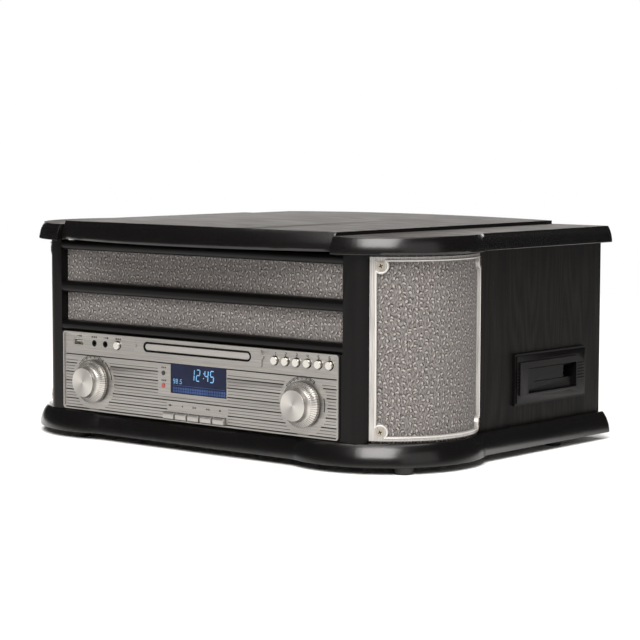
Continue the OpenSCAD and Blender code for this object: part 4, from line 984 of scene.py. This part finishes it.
@dataclass
class Display:
    """The lit display: a clock, a frequency and a scale, all of plain figures."""

    y: float = FRONT_Y - 0.28
    left: float = -29.5
    low: float = 52.7
    rows: tuple[float, float] = (2.0, 4.6)
    row_h: float = 2.1
    bars: int = 22
    pitch: float = 3.0
    bar_x: tuple[float, float] = (2.6, 5.0)
    rule_x: tuple[float, float] = (2.4, 67.0)
    rule_z: float = 7.3
    rule_h: float = 0.4

    def line(self, bm: bmesh.types.BMesh, text: str, place: tuple[float, float], size: tuple[float, float],
             stroke: float, steps: tuple[float, float]) -> None:
        """Writes one line of figures.

        Args:
            bm: The mesh to add to.
            text: The figures, with a colon or a point.
            place: Its lower left corner, from the display's own, in millimetres.
            size: Each figure's width and height.
            stroke: The width of the strokes.
            steps: How far the next sign stands after a figure and after a colon or point.
        """
        x = self.left + place[0]
        for sign in text:
            figure(bm, sign, (x, self.low + place[1]), size, stroke, self.y)
            x += steps[sign in ":."]

    def build(self) -> None:
        """Makes the figures and the scale."""
        finish_nodes(DISPLAY, "display_window")
        bm = bmesh.new()
        self.line(bm, "12:45", (25.0, 13.2), (4.0, 10.2), 0.95, (6.9, 3.4))
        self.line(bm, "98.5", (3.0, 9.2), (1.9, 3.8), 0.5, (3.4, 1.8))
        bmesh.ops.recalc_face_normals(bm, faces=bm.faces)
        Piece("display_figures", "cabinet", "display_glass").link(bm, FIGURES.make())
        bm = bmesh.new()
        for i in range(self.bars):
            start, end = (self.left + x + i * self.pitch for x in self.bar_x)
            for row in self.rows:
                bar(bm, (start, self.low + row), (end, self.low + row), self.row_h, self.y)
        start, end = ((self.left + x, self.low + self.rule_z) for x in self.rule_x)
        bar(bm, start, end, self.rule_h, self.y)
        bmesh.ops.recalc_face_normals(bm, faces=bm.faces)
        Piece("display_scale", "cabinet", "display_glass").link(bm, SCALE.make())


@dataclass
class ControlPanel:
    """The silver panel with its dials, buttons, keys and sockets."""

    knob_x: float = 131.0
    knob_z: float = 55.5
    groove_mm: float = 0.35
    proud_mm: float = 0.5
    thick_mm: float = 2.0
    # The ring of painted shade round the drawer: its inner and outer offset from the drawer's edge, its Y and its
    # thickness
    gap_shade_mm: tuple[float, float] = (0.15, 1.9)
    gap_shade_y: float = FRONT_Y - 1.55
    gap_shade_t: float = 0.2
    drawer_x: float = 3.5
    drawer_z: float = 93.0
    drawer_w: float = 130.4
    drawer_h: float = 5.8

    def build(self) -> None:
        """Dresses the panel and all that sits in it."""
        panel = eased_copy("control_panel", "cabinet", "panel_silver", SILVER_PANEL.make(), 0.25)
        panel.data.materials.append(GROOVE_SHADE.make())
        # The faces inside the deep grooves take the painted groove shade
        floor = (FRONT_Y - self.proud_mm + self.groove_mm) * MM
        for face in panel.data.polygons:
            face.material_index = int(floor < face.center.y < (FRONT_Y + self.thick_mm) * MM)
        for name, side in (("volume_knob", -1), ("tuning_knob", 1)):
            turned = TurnedMetal(f"turned_aluminium_{name}", "c6c3be", roughness=0.36, metallic=0.9,
                                 centre_x=side * self.knob_x, centre_z=self.knob_z)
            eased_copy(name, name, "knob_aluminium", turned.make(), 0.2)
        chrome, paint = CHROME.make(), SILVER_PAINT.make()
        for name in ("function_button", *(f"track_button_{i}" for i in range(1, 7))):
            eased_copy(name, name, "button_chrome", chrome, 1.1)
        for name in (f"play_key_{i}" for i in range(1, 6)):
            eased_copy(name, name, "key_silver", paint, 0.35)
        eased_copy("cd_drawer", "disc_drawer", "drawer_silver", paint, 0.4)
        self.paint_gap_shade()
        finish_nodes(EYE, "remote_eye")
        finish_nodes(LAMP, "power_lamp")

    def paint_gap_shade(self) -> None:
        """Lays a black ring of painted shade round the disc drawer's front, where the gap round it falls dark."""
        bm = bmesh.new()
        inner, outer = (self.drawer_h / 2 + grown for grown in self.gap_shade_mm)
        straight = (self.drawer_w - self.drawer_h) / 2
        middle, width = (outer + inner) / 2, outer - inner
        for side, start in ((1, -90), (-1, 90)):
            arc(bm, (self.drawer_x + side * straight, self.drawer_z), middle, width, (start, start + 180),
                self.gap_shade_y, self.gap_shade_t)
            bar(bm, (self.drawer_x - straight, self.drawer_z + side * middle),
                (self.drawer_x + straight, self.drawer_z + side * middle), width, self.gap_shade_y, self.gap_shade_t)
        bmesh.ops.recalc_face_normals(bm, faces=bm.faces)
        Piece("drawer_gap_shade", "cabinet", "panel_silver").link(bm, RECESS_SHADE.make())


@dataclass
class CassetteSlot:
    """The cassette bezel, its flap and its push button."""

    def build(self) -> None:
        """Dresses the slot."""
        matt = ABS_MATT.make()
        eased_copy("cassette_bezel", "cabinet", "bezel_black", matt, 0.5)
        eased_copy("cassette_flap", "cassette_flap", "flap_black", matt, 0.2)
        eased_copy("cassette_button", "cassette_button", "push_black", matt, 0.3)


@dataclass(frozen=True)
class Softbox:
    """A rectangular soft light: where it hangs round the part, its size in metres and its brightness."""

    name: str
    azimuth: float
    height: float
    distance: float
    size: tuple[float, float]
    radiance: float


SOFTBOXES = (
    Softbox("key_front", 31.0, 44.0, 5.0, (3.2, 3.4), 11.5),
    Softbox("side_right", 79.0, 22.0, 5.0, (3.8, 3.0), 0.75),
    Softbox("backdrop", 216.0, 8.0, 5.2, (4.6, 1.7), 2.9),
    Softbox("overhead", 0.0, 89.0, 4.8, (4.4, 4.4), 3.0),
)


@dataclass
class Studio:
    """The pale floor, the soft lights and the camera at the photograph's viewpoint."""

    eye: tuple[float, float, float] = (1.3633, -1.5857, 0.29714)
    right: tuple[float, float, float] = (0.76418, 0.64499, 0.00292)
    up: tuple[float, float, float] = (-0.05915, 0.06556, 0.99609)
    ahead: tuple[float, float, float] = (-0.64228, 0.76137, -0.08825)
    lens_mm: float = 123.0
    ambient: float = 0.03
    warm: tuple[float, float, float] = (1.0, 0.975, 0.952)
    aim: tuple[float, float, float] = (0.05, -0.05, 0.1)
    floor_middle: tuple[float, float] = (0.9, -0.9)
    floor_half: float = 2.6

    def camera(self) -> None:
        """Places the camera."""
        data = bpy.data.cameras.new("photo_camera")
        data.lens = self.lens_mm
        data.sensor_width = 36.0
        data.clip_end = 50.0
        camera = bpy.data.objects.new("photo_camera", data)
        bpy.context.scene.collection.objects.link(camera)
        back = -Vector(self.ahead)
        turn = Matrix((self.right, self.up, back)).transposed().to_4x4()
        camera.matrix_world = Matrix.Translation(self.eye) @ turn
        bpy.context.scene.camera = camera

    def floor(self) -> None:
        """Lays the pale floor."""
        bm = bmesh.new()
        bmesh.ops.create_grid(bm, x_segments=1, y_segments=1, size=self.floor_half,
                              matrix=Matrix.Translation((*self.floor_middle, 0)))
        mesh = bpy.data.meshes.new("floor")
        bm.to_mesh(mesh)
        bm.free()
        paper = MouldedPlastic("white_backdrop_paper", "fbfbfb", roughness=0.9, grain_mm=20.0, depth_mm=0.0)
        mesh.materials.append(paper.make())
        floor = bpy.data.objects.new("floor", mesh)
        bpy.context.scene.collection.objects.link(floor)

    def softbox(self, light: Softbox) -> None:
        """Hangs one soft light."""
        around, up = math.radians(light.azimuth), math.radians(light.height)
        place = Vector((math.sin(around) * math.cos(up), -math.cos(around) * math.cos(up), math.sin(up)))
        place *= light.distance
        data = bpy.data.lights.new(light.name, "AREA")
        data.shape = "RECTANGLE"
        data.size, data.size_y = light.size
        data.energy = light.radiance * math.pi * light.size[0] * light.size[1]
        data.color = self.warm
        lamp = bpy.data.objects.new(light.name, data)
        bpy.context.scene.collection.objects.link(lamp)
        lamp.visible_camera = False
        aim = Vector(self.aim)
        lamp.matrix_world = Matrix.Translation(aim + place) @ (-place).to_track_quat("-Z", "Y").to_matrix().to_4x4()

    def world(self) -> None:
        """Makes the backdrop: white to the camera, nearly dark to everything else, as in a blacked-out studio."""
        world = bpy.data.worlds.new("studio")
        world.use_nodes = True
        tree = world.node_tree
        seen = add_node(tree, "LightPath")
        dim = add_node(tree, "Math", {0: seen.outputs["Is Camera Ray"], 1: 0.97, 2: self.ambient},
                       operation="MULTIPLY_ADD")
        sky = tree.nodes["Background"]
        sky.inputs["Color"].default_value = (1.0, 1.0, 1.0, 1.0)
        tree.links.new(dim.outputs[0], sky.inputs["Strength"])
        bpy.context.scene.world = world

    def build(self) -> None:
        """Sets up the room."""
        bpy.context.scene.view_settings.view_transform = "Standard"
        self.world()
        self.camera()
        self.floor()
        for light in SOFTBOXES:
            self.softbox(light)


def main() -> None:
    """Builds every sub-assembly in order."""
    logging.basicConfig(level=logging.INFO, format="%(name)s: %(message)s")
    for part in (Cabinet(), GrilleCloth(), SpeakerFrames(), ControlPanel(), PanelPrint(), PressedLines(),
                 Display(), CassetteSlot(), Studio()):
        LOG.info("building %s", type(part).__name__)
        part.build()


if __name__ == "__main__":
    main()
